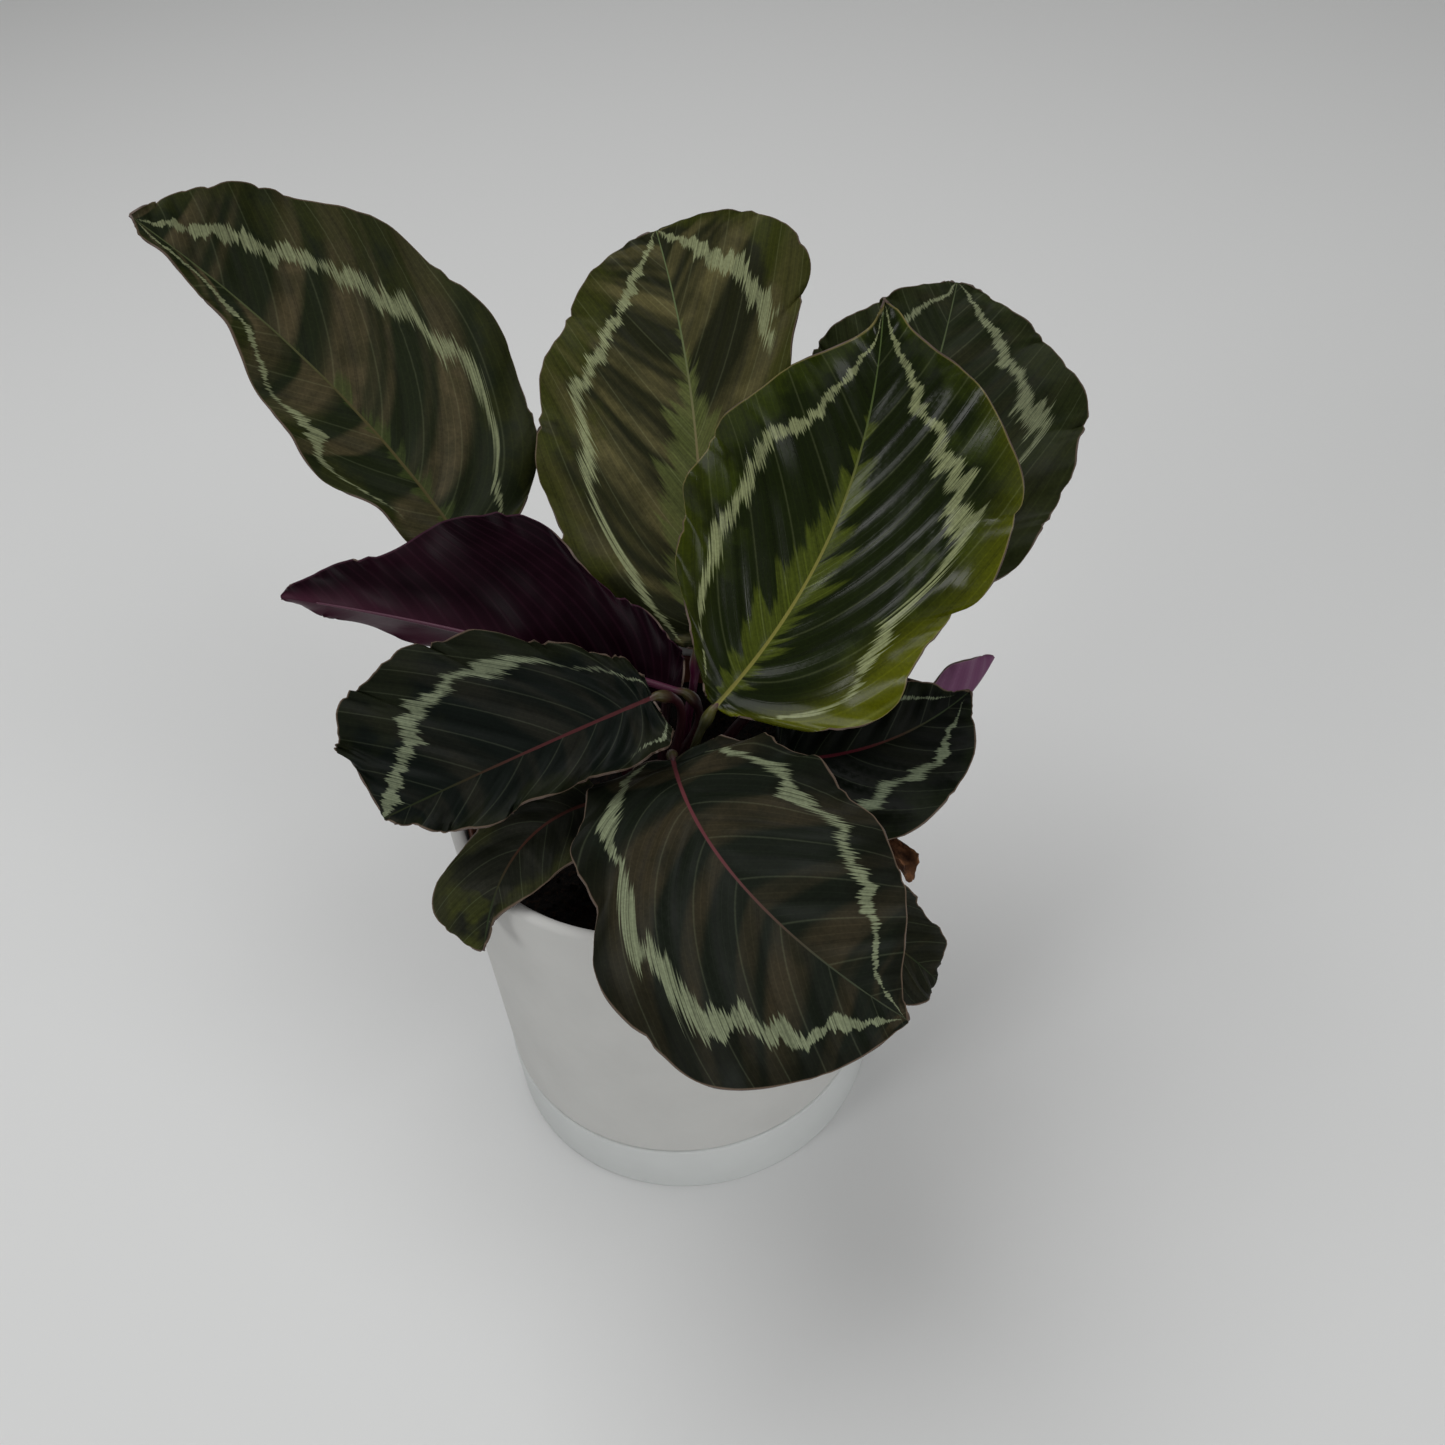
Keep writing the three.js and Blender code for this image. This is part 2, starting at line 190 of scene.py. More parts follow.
def uv_parts(tree: Tree, title: str) -> tuple[Socket, Socket]:
    """Read a UV map and take its two values apart.

    Args:
        tree: The material's node tree.
        title: The map's name.

    Returns:
        The sockets of the two values.
    """
    uv = put(tree, "ShaderNodeUVMap", {"uv_map": title})
    outputs = put(tree, "ShaderNodeSeparateXYZ", {}, [uv]).outputs
    return outputs["X"], outputs["Y"]


def mottled(
    tree: Tree,
    place: Socket,
    code: int,
    size: float,
    detail: float,
    tints: tuple[float, float],
) -> tuple[Node, Node]:
    """Add a colour that is darker and lighter in clouds.

    Args:
        tree: The material's node tree.
        place: The place on the piece.
        code: The colour.
        size: The size of the clouds, in metres.
        detail: How much finer detail they have.
        tints: The colour's factors where it is darkest and lightest.

    Returns:
        The clouds' noise and the colour.
    """
    clouds = put(
        tree, "ShaderNodeTexNoise", {}, {"Vector": place, "Scale": 1 / size, "Detail": detail}
    )
    tint = put(tree, "ShaderNodeMapRange", {}, [clouds, *NOISE_SPREAD, *tints])
    colour = put(tree, "ShaderNodeVectorMath", SCALE, {0: linear(code)[:3], "Scale": tint})
    return clouds, colour


def deselect_all() -> None:
    """Leave nothing selected, so that an operator acts on its own piece alone."""
    bpy.ops.object.select_all(action="DESELECT")


def close_shell(gap: float) -> None:
    """Close the shell that is in edit mode, turn its faces outwards and leave the mode.

    Args:
        gap: How far apart points may lie that are merged, in metres.
    """
    bpy.ops.mesh.select_all(action="SELECT")
    bpy.ops.mesh.remove_doubles(threshold=gap)
    bpy.ops.mesh.select_all(action="SELECT")
    bpy.ops.mesh.normals_make_consistent(inside=False)
    bpy.ops.object.mode_set(mode="OBJECT")


def shaped_grid(
    name: str,
    rows: int,
    columns: int,
    place: Callable[[int, int], Vector],
    maps: dict[str, Callable[[int, int], tuple[float, float]]] | None = None,
    closed: bool = False,
) -> Piece:
    """Add a grid, move its points to their places and lay its UV maps.

    Args:
        name: The piece's name.
        rows: How many faces the grid has along its first way.
        columns: How many faces it has along its second way.
        place: Gives the place of the point in a row and column, in metres.
        maps: For each UV map, by name, what gives the UV of the point in a row and column.
        closed: Whether points that meet are merged, and the faces then turned outwards.

    Returns:
        The piece, with its rows running ahead, its columns to the left and its faces up.
    """
    deselect_all()
    bpy.ops.mesh.primitive_grid_add(
        x_subdivisions=rows, y_subdivisions=columns, size=1, calc_uvs=False
    )
    piece = bpy.context.object
    piece.name = piece.data.name = name
    mesh = piece.data
    cells = [(round((v.co.x + 0.5) * rows), round((v.co.y + 0.5) * columns)) for v in mesh.vertices]
    for vertex, cell in zip(mesh.vertices, cells):
        vertex.co = place(*cell)
    for title, give in (maps or {}).items():
        layer = mesh.uv_layers.new(name=title)
        values = [give(*cell) for cell in cells]
        for loop, uv in zip(mesh.loops, layer.uv):
            uv.vector = values[loop.vertex_index]
    if closed:
        bpy.ops.object.mode_set(mode="EDIT")
        close_shell(0.002 * MM)
    return piece


def turned(name: str, profile: Sequence[tuple[float, float]], sides: int = 192) -> Piece:
    """Turn a closed profile round the Z axis, by extruding and widening a ring.

    Args:
        name: The piece's name.
        profile: Points of radius and height in metres, closed by a disc at each end of it where
            its first and last points differ.
        sides: How many sides the round has.

    Returns:
        The piece, with its faces outwards.
    """
    deselect_all()
    radius, height = profile[0]
    disc = profile[0] != profile[-1]
    bpy.ops.mesh.primitive_circle_add(
        vertices=sides, radius=radius, location=(0, 0, height), fill_type="NGON" if disc else "NOTHING"
    )
    piece = bpy.context.object
    piece.name = piece.data.name = name
    bpy.ops.object.transform_apply(location=True, rotation=True, scale=True)
    bpy.ops.object.mode_set(mode="EDIT")
    bpy.ops.mesh.select_mode(type="EDGE")
    bpy.ops.mesh.select_all(action="SELECT")
    if disc:
        bpy.ops.mesh.region_to_loop()
    for (r0, z0), (r1, z1) in zip(profile, profile[1:]):
        bpy.ops.mesh.extrude_edges_move(TRANSFORM_OT_translate={"value": (0, 0, z1 - z0)})
        bpy.ops.transform.resize(value=(r1 / r0, r1 / r0, 1), center_override=(0, 0, z1))
    if disc:
        bpy.ops.mesh.edge_face_add()
    close_shell(0.001 * MM)
    bpy.ops.object.shade_smooth_by_angle(angle=math.radians(35))
    return piece


def arc(
    centre: tuple[float, float], radius: float, start: float, end: float, steps: int = 5
) -> list[tuple[float, float]]:
    """Give points of a round.

    Args:
        centre: The radius and height of its middle, in metres.
        radius: Its own radius, in metres.
        start: The angle at which it starts, in degrees.
        end: The angle at which it ends, in degrees.
        steps: How many edges it has.

    Returns:
        The points, as radius and height.
    """
    angles = [math.radians(lerp(start, end, i / steps)) for i in range(steps + 1)]
    return [(centre[0] + radius * math.cos(a), centre[1] + radius * math.sin(a)) for a in angles]


def lerp(start: float, end: float, share: float) -> float:
    """Give the value at a share of the way from start to end."""
    return start + (end - start) * share


def along(values: Sequence[float], share: float) -> float:
    """Give a smooth value through evenly spaced ones.

    Args:
        values: The values at even steps.
        share: The share of the way along them.

    Returns:
        The value there.
    """
    last = len(values) - 1
    i = min(math.floor(share * last), last - 1)
    f = share * last - i
    p, q, r, s = (values[min(max(i + step, 0), last)] for step in (-1, 0, 1, 2))
    return q + 0.5 * f * (r - p + f * (2 * p - 5 * q + 4 * r - s + f * (3 * (q - r) + s - p)))


def direction(azimuth: float, elevation: float) -> Vector:
    """Give the direction with an azimuth from the front and an elevation, in degrees."""
    a, e = math.radians(azimuth), math.radians(elevation)
    return Vector((math.sin(a) * math.cos(e), -math.cos(a) * math.cos(e), math.sin(e)))


def across(vector: Vector, axis: Vector) -> Vector:
    """Give the unit direction nearest to a vector that is square to an axis."""
    return (vector - axis * vector.dot(axis)).normalized()


def crimped(cycle: float) -> float:
    """Give the uneven beat of a margin's small frills, from the cycle of its waves."""
    return math.sin(3.1 * cycle + 2 * math.sin(1.7 * cycle)) * (0.6 + 0.4 * math.sin(0.9 * cycle))


class Curve:
    """A Bezier curve that is read by the share of its length."""

    STEPS = 200

    def __init__(self, points: Sequence[Vector]) -> None:
        """Measure the curve.

        Args:
            points: Its control points.
        """
        self.points = list(points)
        places = [self.at_parameter(i / self.STEPS) for i in range(self.STEPS + 1)]
        self.lengths = [0.0]
        for a, b in zip(places, places[1:]):
            self.lengths.append(self.lengths[-1] + (b - a).length)
        self.length = self.lengths[-1]

    def at_parameter(self, t: float) -> Vector:
        """Give the point at a Bezier parameter.

        Args:
            t: The parameter, 0 to 1.

        Returns:
            The point, blended from the control points.
        """
        points = self.points
        while len(points) > 1:
            points = [a.lerp(b, t) for a, b in zip(points, points[1:])]
        return points[0]

    def parameter(self, share: float) -> float:
        """Give the Bezier parameter at a share of the length.

        Args:
            share: The share of the length.

        Returns:
            The parameter, 0 to 1.
        """
        target = share * self.length
        i = min(bisect_right(self.lengths, target) - 1, self.STEPS - 1)
        low, high = self.lengths[i], self.lengths[i + 1]
        return (i + (target - low) / (high - low)) / self.STEPS

    def at(self, share: float) -> Vector:
        """Give the point at a share of the length."""
        return self.at_parameter(self.parameter(share))

    def ahead(self, share: float) -> Vector:
        """Give the direction in which the curve runs.

        Args:
            share: The share of its length.

        Returns:
            The unit direction there.
        """
        t = self.parameter(share)
        low, high = max(0.0, t - 1e-4), min(1.0, t + 1e-4)
        return (self.at_parameter(high) - self.at_parameter(low)).normalized()


@dataclass(frozen=True)
class Finish:
    """What the surface of a piece is made of, as a node material."""

    name: str

    def build(self) -> Material:
        """Build the material.

        Returns:
            The material, with the finish's patterns, a shader and an output.
        """
        material = bpy.data.materials.new(self.name)
        material.use_nodes = True
        tree = material.node_tree
        tree.nodes.clear()
        place = put(tree, "ShaderNodeTexCoord").outputs["Object"]
        shader = put(tree, "ShaderNodeBsdfPrincipled", {}, self.shade(tree, place))
        put(tree, "ShaderNodeOutputMaterial", {}, {"Surface": shader})
        return material

    def shade(self, tree: Tree, place: Socket) -> dict[str, object]:
        """Add the patterns of the finish.

        Args:
            tree: The material's node tree.
            place: The place on the piece.

        Returns:
            What goes into the shader's sockets, by name.
        """
        raise NotImplementedError


@dataclass(frozen=True)
class LeafSkin(Finish):
    """Upper face of a living leaf: a waxy cuticle over a pleated lamina.

    Satin, with a pale brushed ring two thirds of the way out, a feathered zone along the midrib,
    brown streaks between the side veins, fine veins and a pale thin margin. The real fine veins lie
    less than 1 mm apart, and are drawn about 2 mm apart so that they show.
    """

    deep: int = 0x181E10
    outer: int = 0x242A12
    streak: int = 0x302C1C
    band: int = 0x7C8868
    feather: int = 0x3A4A24
    rib: int = 0x6A3038
    rib_tip: int = 0x2A3420
    margin: int = 0x6A5A4C
    flush: int = 0x5A5A10
    tip: int = 0x3A3E18
    streaks: float = 0.6
    tip_amount: float = 0.0
    flush_amount: float = 0.0
    roughness: tuple[float, float] = (0.4, 0.58)
    gloss: float = 0.1
    rib_width: float = 0.7
    pleats: float = 11.0
    fine_veins: float = 6
    seed: float = 0.0

    def noises(
        self, tree: Tree, lane: Socket, track: Node
    ) -> dict[str, Node]:
        """Add random values that change from one side vein to the next and hardly along them.

        Args:
            tree: The material's node tree.
            lane: The vein's place along the midrib.
            track: What keeps the two sides and the leaves apart.

        Returns:
            The values, 0 to 1: jump and lanes change over about 10 mm, inner and outer over 3 mm,
            bristle and brush over 0.5 mm.
        """
        made = {}
        kinds = (
            ("jump", 12.0, 0.0, 0.0), ("inner", 30.0, 3.0, 3.1), ("outer", 34.0, 3.0, 7.7),
            ("bristle", 220.0, 2.0, 1.3), ("brush", 240.0, 2.0, 5.9), ("lanes", 12.0, 2.0, 9.4),
        )
        for key, scale, detail, shift in kinds:
            w = put(tree, "ShaderNodeMath", MULTIPLY_ADD, [lane, scale, track])
            w = put(tree, "ShaderNodeMath", ADD, [w, shift])
            values = put(
                tree, "ShaderNodeTexNoise", {"noise_dimensions": "1D"},
                {"W": w, "Scale": 1.0, "Detail": detail},
            )
            made[key] = put(tree, "ShaderNodeMapRange", {}, [values, *NOISE_SPREAD, 0.0, 1.0])
        return made

    def ring(self, tree: Tree, values: dict[str, Node]) -> Node:
        """Add the mask of the pale ring, which ends in bristles on both sides.

        Args:
            tree: The material's node tree.
            values: The random values by vein.

        Returns:
            The node that gives nearly 1 on the ring, less where it is worn, and 0 off it.
        """
        jump, bristle, fade = 0.08, 0.06, 0.03
        off, half = uv_parts(tree, RING_MAP)
        off = put(tree, "ShaderNodeMath", MULTIPLY_ADD, [values["jump"], jump, off])
        off = put(tree, "ShaderNodeMath", ADD, [off, -jump / 2])
        live = put(tree, "ShaderNodeMapRange", SMOOTH, [half, 0.006, 0.03, 0.0, 1.0])
        masks = []
        for rag, hair, way in (("inner", "bristle", -1.0), ("outer", "brush", 1.0)):
            edge = put(tree, "ShaderNodeMath", MULTIPLY_ADD, [values[rag], 0.95, 0.1])
            edge = put(tree, "ShaderNodeMath", MULTIPLY, [edge, half])
            edge = put(tree, "ShaderNodeMath", MULTIPLY_ADD, [values[hair], bristle, edge])
            edge = put(tree, "ShaderNodeMath", ADD, [edge, -0.04])
            end = put(tree, "ShaderNodeMath", ADD, [edge, fade])
            out = put(tree, "ShaderNodeMath", MULTIPLY, [off, way])
            masks.append(put(tree, "ShaderNodeMapRange", SMOOTH, [out, edge, end, 1.0, 0.0]))
        mask = put(tree, "ShaderNodeMath", MULTIPLY, masks)
        mask = put(tree, "ShaderNodeMath", MULTIPLY, [mask, live])
        worn = put(tree, "ShaderNodeMapRange", SMOOTH, [values["brush"], 0.0, 0.6, 0.4, 0.9])
        return put(tree, "ShaderNodeMath", MULTIPLY, [mask, worn])

    def shade(self, tree: Tree, place: Socket) -> dict[str, object]:
        """Add the leaf's markings and veins, read from its own UV maps.

        Args:
            tree: The material's node tree.
            place: The place on the piece.

        Returns:
            What goes into the shader's sockets, by name.
        """
        lane, offset = uv_parts(tree, VEIN_MAP)
        from_rib, from_margin = uv_parts(tree, REACH_MAP)
        off_feather, share = uv_parts(tree, ZONE_MAP)
        signed = put(tree, "ShaderNodeMath", MULTIPLY_ADD, [offset, 2.0, -1.0])
        way = put(tree, "ShaderNodeMath", {"operation": "ABSOLUTE"}, [signed])
        side = put(tree, "ShaderNodeMath", {"operation": "SIGN"}, [signed])
        track = put(tree, "ShaderNodeMath", MULTIPLY_ADD, [side, 3.7, 17.0 * self.seed])
        track = put(tree, "ShaderNodeMath", MULTIPLY_ADD, [way, 1.5, track])
        values = self.noises(tree, lane, track)

        # Deep green within the ring, lighter towards the margin, with clouds of either
        cloud, grain = (
            put(tree, "ShaderNodeTexNoise", {}, {"Vector": place, "Scale": 1 / size, "Detail": 3.0})
            for size in (14 * MM, 0.9 * MM)
        )
        cloudy = put(tree, "ShaderNodeMapRange", {}, [cloud, 0.35, 0.65, -0.25, 0.25])
        zone = put(tree, "ShaderNodeMath", ADD, [way, cloudy])
        zone = put(tree, "ShaderNodeMapRange", SMOOTH, [zone, 0.55, 0.95, 0.0, 1.0])
        layers = [(zone, self.outer)]

        # Brown streaks between some of the side veins, fewer towards the margin
        lanes = put(
            tree, "ShaderNodeMapRange", SMOOTH, [values["lanes"], 0.35, 0.85, 0.0, self.streaks]
        )
        patchy = put(tree, "ShaderNodeMapRange", SMOOTH, [cloud, 0.36, 0.6, 0.45, 0.9])
        lanes = put(tree, "ShaderNodeMath", MULTIPLY, [lanes, patchy])
        greener = put(tree, "ShaderNodeMapRange", {}, [zone, 0.0, 1.0, 1.0, 0.35])
        lanes = put(tree, "ShaderNodeMath", MULTIPLY, [lanes, greener])
        layers.append((lanes, self.streak))
        if self.flush_amount:
            # The young yellow margin, on the right side and nearer the base
            early = put(tree, "ShaderNodeMath", MULTIPLY_ADD, [share, -1.3, way])
            edge = put(
                tree, "ShaderNodeMapRange", SMOOTH, [early, -0.15, 0.45, 0.0, self.flush_amount]
            )
            facing = put(tree, "ShaderNodeMapRange", {}, [side, -1.0, 1.0, 1.0, 0.15])
            edge = put(tree, "ShaderNodeMath", MULTIPLY, [edge, facing])
            layers.append((edge, self.flush))
        if self.tip_amount:
            # A tip that has begun to yellow
            late = put(tree, "ShaderNodeMath", ADD, [share, cloudy])
            late = put(
                tree, "ShaderNodeMapRange", SMOOTH, [late, 0.88, 1.08, 0.0, self.tip_amount]
            )
            layers.append((late, self.tip))

        # The feather along the midrib, with tufts that run out along the veins
        tufts = put(tree, "ShaderNodeMath", MULTIPLY_ADD, [values["inner"], 0.16, off_feather])
        tufts = put(tree, "ShaderNodeMath", MULTIPLY_ADD, [values["bristle"], 0.04, tufts])
        tufts = put(tree, "ShaderNodeMapRange", SMOOTH, [tufts, -0.04, 0.02, 0.85, 0.0])
        brushed = put(tree, "ShaderNodeMapRange", {}, [values["bristle"], 0.0, 1.0, 0.6, 1.0])
        tufts = put(tree, "ShaderNodeMath", MULTIPLY, [tufts, brushed])
        layers += [(tufts, self.feather), (self.ring(tree, values), self.band)]

        # Fine side veins, painted shade in the crease between two pleats, and on each crest a pale
        # vein with a painted highlight
        beat = put(tree, "ShaderNodeMath", MULTIPLY, [lane, self.fine_veins * self.pleats])
        beat = put(tree, "ShaderNodeMath", PINGPONG, [beat, 0.5])
        lines = put(tree, "ShaderNodeMapRange", SMOOTH, [beat, 0.0, 0.14, 1.0, 0.0])
        fold = put(tree, "ShaderNodeMath", MULTIPLY_ADD, [lane, self.pleats, 0.5])
        fold = put(tree, "ShaderNodeMath", PINGPONG, [fold, 0.5])
        # Painted shade: darker in the trough between two pleats
        painted_crease_shade = put(tree, "ShaderNodeMapRange", SMOOTH, [fold, 0.0, 0.06, 0.4, 0.0])
        # Painted highlight: paler along each pleat's crest, where a pale vein also runs
        crest_highlight = put(tree, "ShaderNodeMapRange", SMOOTH, [fold, 0.46, 0.5, 0.0, 0.08])
        layers.append((crest_highlight, self.band))
        colour = linear(self.deep)
        for mask, code in layers:
            colour = put(tree, "ShaderNodeMix", RGBA, {0: mask, 6: colour, 7: linear(code)})
        tint = put(tree, "ShaderNodeMapRange", {}, [grain, *NOISE_SPREAD, 0.85, 1.15])
        tint = put(tree, "ShaderNodeMath", MULTIPLY_ADD, [lines, 0.3, tint])
        tint = put(tree, "ShaderNodeMath", SUBTRACT, [tint, painted_crease_shade])
        colour = put(tree, "ShaderNodeVectorMath", SCALE, {0: colour, "Scale": tint})

        # The midrib tapers and fades towards the tip; the margin is a pale line
        rib_half = put(
            tree, "ShaderNodeMapRange", {}, [share, 0.0, 0.85, self.rib_width * MM, 0.15 * MM]
        )
        rib_edge = put(tree, "ShaderNodeMath", MULTIPLY, [rib_half, 1.6])
        rib = put(tree, "ShaderNodeMapRange", SMOOTH, [from_rib, rib_half, rib_edge, 1.0, 0.0])
        fade = put(tree, "ShaderNodeMapRange", SMOOTH, [share, 0.5, 0.78, 0.0, 1.0])
        rib_colour = put(
            tree, "ShaderNodeMix", RGBA, {0: fade, 6: linear(self.rib), 7: linear(self.rib_tip)}
        )
        colour = put(tree, "ShaderNodeMix", RGBA, {0: rib, 6: colour, 7: rib_colour})
        rim = put(tree, "ShaderNodeMapRange", SMOOTH, [from_margin, 0.1 * MM, 0.4 * MM, 0.8, 0.0])
        colour = put(tree, "ShaderNodeMix", RGBA, {0: rim, 6: colour, 7: linear(self.margin)})

        # The cuticle: its gloss varies with dust, and the veins stand a little proud
        dull = put(tree, "ShaderNodeMapRange", {}, [cloud, *NOISE_SPREAD, *self.roughness])
        height = put(tree, "ShaderNodeMath", MULTIPLY_ADD, [grain, 1.2, lines])
        bump = put(
            tree, "ShaderNodeBump", {}, {"Height": height, "Distance": 0.03 * MM, "Strength": 0.5}
        )
        return {
            "Base Color": colour, "Roughness": dull, "Normal": bump, "IOR": CUTICLE_IOR,
            "Specular IOR Level": self.gloss,
        }


@dataclass(frozen=True)
class LeafUnderside(Finish):
    """Underside of a living leaf: a smooth burgundy skin.

    Satin and even, with side veins that show as faint lighter lines and a paler margin. The real
    veins are too fine to show, and are drawn 40 to a side.
    """

    name: str = "burgundy leaf underside"
    skin: int = 0x0E0107
    pale: int = 0x40202E
    margin: int = 0x3E2430
    veins: float = 40.0

    def shade(self, tree: Tree, place: Socket) -> dict[str, object]:
        """Add the underside's veins, its clouds and the painted light through its thin part near one
        margin.

        Args:
            tree: The material's node tree.
            place: The place on the piece.

        Returns:
            What goes into the shader's sockets, by name.
        """
        lane, offset = uv_parts(tree, VEIN_MAP)
        from_margin = uv_parts(tree, REACH_MAP)[1]
        share = uv_parts(tree, ZONE_MAP)[1]
        beat = put(tree, "ShaderNodeMath", MULTIPLY, [lane, self.veins])
        beat = put(tree, "ShaderNodeMath", PINGPONG, [beat, 0.5])
        lines = put(tree, "ShaderNodeMapRange", SMOOTH, [beat, 0.0, 0.2, 0.1, 0.0])
        cloud = put(
            tree, "ShaderNodeTexNoise", {}, {"Vector": place, "Scale": 1 / (18 * MM), "Detail": 3.0}
        )
        bloom = put(tree, "ShaderNodeMapRange", {}, [cloud, 0.45, 0.7, 0.0, 0.15])
        mixed = put(tree, "ShaderNodeMath", ADD, [lines, bloom])
        # Painted light shining through the thin blade: paler towards the tip and the right side
        thin = put(tree, "ShaderNodeMath", MULTIPLY_ADD, [offset, -1.0, share])
        thin = put(tree, "ShaderNodeMapRange", SMOOTH, [thin, -0.1, 0.4, 0.0, 0.9])
        mixed = put(tree, "ShaderNodeMath", {**ADD, "use_clamp": True}, [mixed, thin])
        rim = put(tree, "ShaderNodeMapRange", SMOOTH, [from_margin, 0.2 * MM, 0.5 * MM, 0.8, 0.0])
        colour = linear(self.skin)
        for mask, code in ((mixed, self.pale), (rim, self.margin)):
            colour = put(tree, "ShaderNodeMix", RGBA, {0: mask, 6: colour, 7: linear(code)})
        bump = put(
            tree, "ShaderNodeBump", {}, {"Height": lines, "Distance": 0.3 * MM, "Strength": 0.5}
        )
        return {
            "Base Color": colour, "Roughness": 0.36, "Normal": bump, "IOR": CUTICLE_IOR,
            "Specular IOR Level": 0.08,
        }


@dataclass(frozen=True)
class MarginSkin(Finish):
    """Cut edge and margin of a leaf: thin, waxy and pale, so that it draws a fine light line."""

    colour: int = 0x5E4E44

    def shade(self, tree: Tree, place: Socket) -> dict[str, object]:
        """Give the margin its clouds."""
        _, colour = mottled(tree, place, self.colour, 6 * MM, 2.0, (0.6, 1.1))
        return {"Base Color": colour, "Roughness": 0.5, "IOR": CUTICLE_IOR}


@dataclass(frozen=True)
class StalkSkin(Finish):
    """Smooth skin of a petiole, grown from its sheath.

    Dark burgundy at the sheath, olive to red up the stalk, yellow-green at the knob and burgundy
    where it goes on as the rib under the blade, with fine streaks along its length.
    """

    sheath: int = 0x3A1020
    stalk: int = 0x3A2418
    knob: int = 0x5A5A20
    rib: int = 0x4A2034
    knob_share: float = 0.5

    def shade(self, tree: Tree, place: Socket) -> dict[str, object]:
        """Add the colours along the stalk, read from its UV map, its streaks and its grain.

        Args:
            tree: The material's node tree.
            place: The place on the piece.

        Returns:
            What goes into the shader's sockets, by name.
        """
        uv = put(tree, "ShaderNodeUVMap", {"uv_map": VEIN_MAP})
        split = put(tree, "ShaderNodeSeparateXYZ", {}, [uv])
        ramp = put(tree, "ShaderNodeValToRGB", {}, [split.outputs["X"]])
        stops = (
            (0.0, self.sheath),
            (0.55 * self.knob_share, self.stalk),
            (0.93 * self.knob_share, self.stalk),
            (self.knob_share, self.knob),
            (min(0.99, 1.05 * self.knob_share), self.rib),
        )
        elements = ramp.color_ramp.elements
        while len(elements) < len(stops):
            elements.new(1.0)
        for element, (position, code) in zip(elements, stops):
            element.position = position
            element.color = linear(code)
        long = put(tree, "ShaderNodeMapping", {}, {0: uv, "Scale": (6.0, 24.0, 1.0)})
        streaks = put(tree, "ShaderNodeTexNoise", {}, {"Vector": long, "Scale": 1.0, "Detail": 2.0})
        tint = put(tree, "ShaderNodeMapRange", {}, [streaks, *NOISE_SPREAD, 0.7, 1.3])
        colour = put(tree, "ShaderNodeVectorMath", SCALE, {0: ramp, "Scale": tint})
        grain = put(tree, "ShaderNodeTexNoise", {}, {"Vector": place, "Scale": 1 / (0.8 * MM)})
        bump = put(tree, "ShaderNodeBump", {}, {"Height": grain, "Distance": 0.05 * MM})
        return {
            "Base Color": colour, "Roughness": 0.42, "Normal": bump, "IOR": CUTICLE_IOR,
            "Specular IOR Level": 0.4,
        }


@dataclass(frozen=True)
class MattCeramic(Finish):
    """Stoneware under a matt glaze, cast and fired.

    Even off-white, dry to the eye, with a very slight orange-peel and hardly any mottling. The
    real peel is under 1 mm, and is drawn as 3 mm so that it shows.
    """

    glaze: int
    roughness: float = 0.62
    peel: float = 3.0 * MM

    def shade(self, tree: Tree, place: Socket) -> dict[str, object]:
        """Add the glaze's clouds and its orange-peel.

        Args:
            tree: The material's node tree.
            place: The place on the piece.

        Returns:
            What goes into the shader's sockets, by name.
        """
        _, colour = mottled(tree, place, self.glaze, 25 * MM, 3.0, (0.97, 1.03))
        peel = put(
            tree, "ShaderNodeTexNoise", {}, {"Vector": place, "Scale": 1 / self.peel, "Detail": 4.0}
        )
        ends = (self.roughness - 0.05, self.roughness + 0.05)
        dry = put(tree, "ShaderNodeMapRange", {}, [peel, *NOISE_SPREAD, *ends])
        bump = put(
            tree, "ShaderNodeBump", {}, {"Height": peel, "Distance": 0.06 * MM, "Strength": 0.5}
        )
        return {"Base Color": colour, "Roughness": dry, "Normal": bump, "IOR": 1.5}


@dataclass(frozen=True)
class BrownPolypropylene(Finish):
    """Polypropylene, thermoformed: brown, thin, softly shining, with fine scuffs."""

    name: str = "brown polypropylene"
    colour: int = 0x5A3424

    def shade(self, tree: Tree, place: Socket) -> dict[str, object]:
        """Add the scuffs.

        Args:
            tree: The material's node tree.
            place: The place on the piece.

        Returns:
            What goes into the shader's sockets, by name.
        """
        scuffs, colour = mottled(tree, place, self.colour, 4 * MM, 5.0, (0.85, 1.15))
        rough = put(tree, "ShaderNodeMapRange", {}, [scuffs, *NOISE_SPREAD, 0.35, 0.6])
        return {"Base Color": colour, "Roughness": rough, "IOR": 1.49}


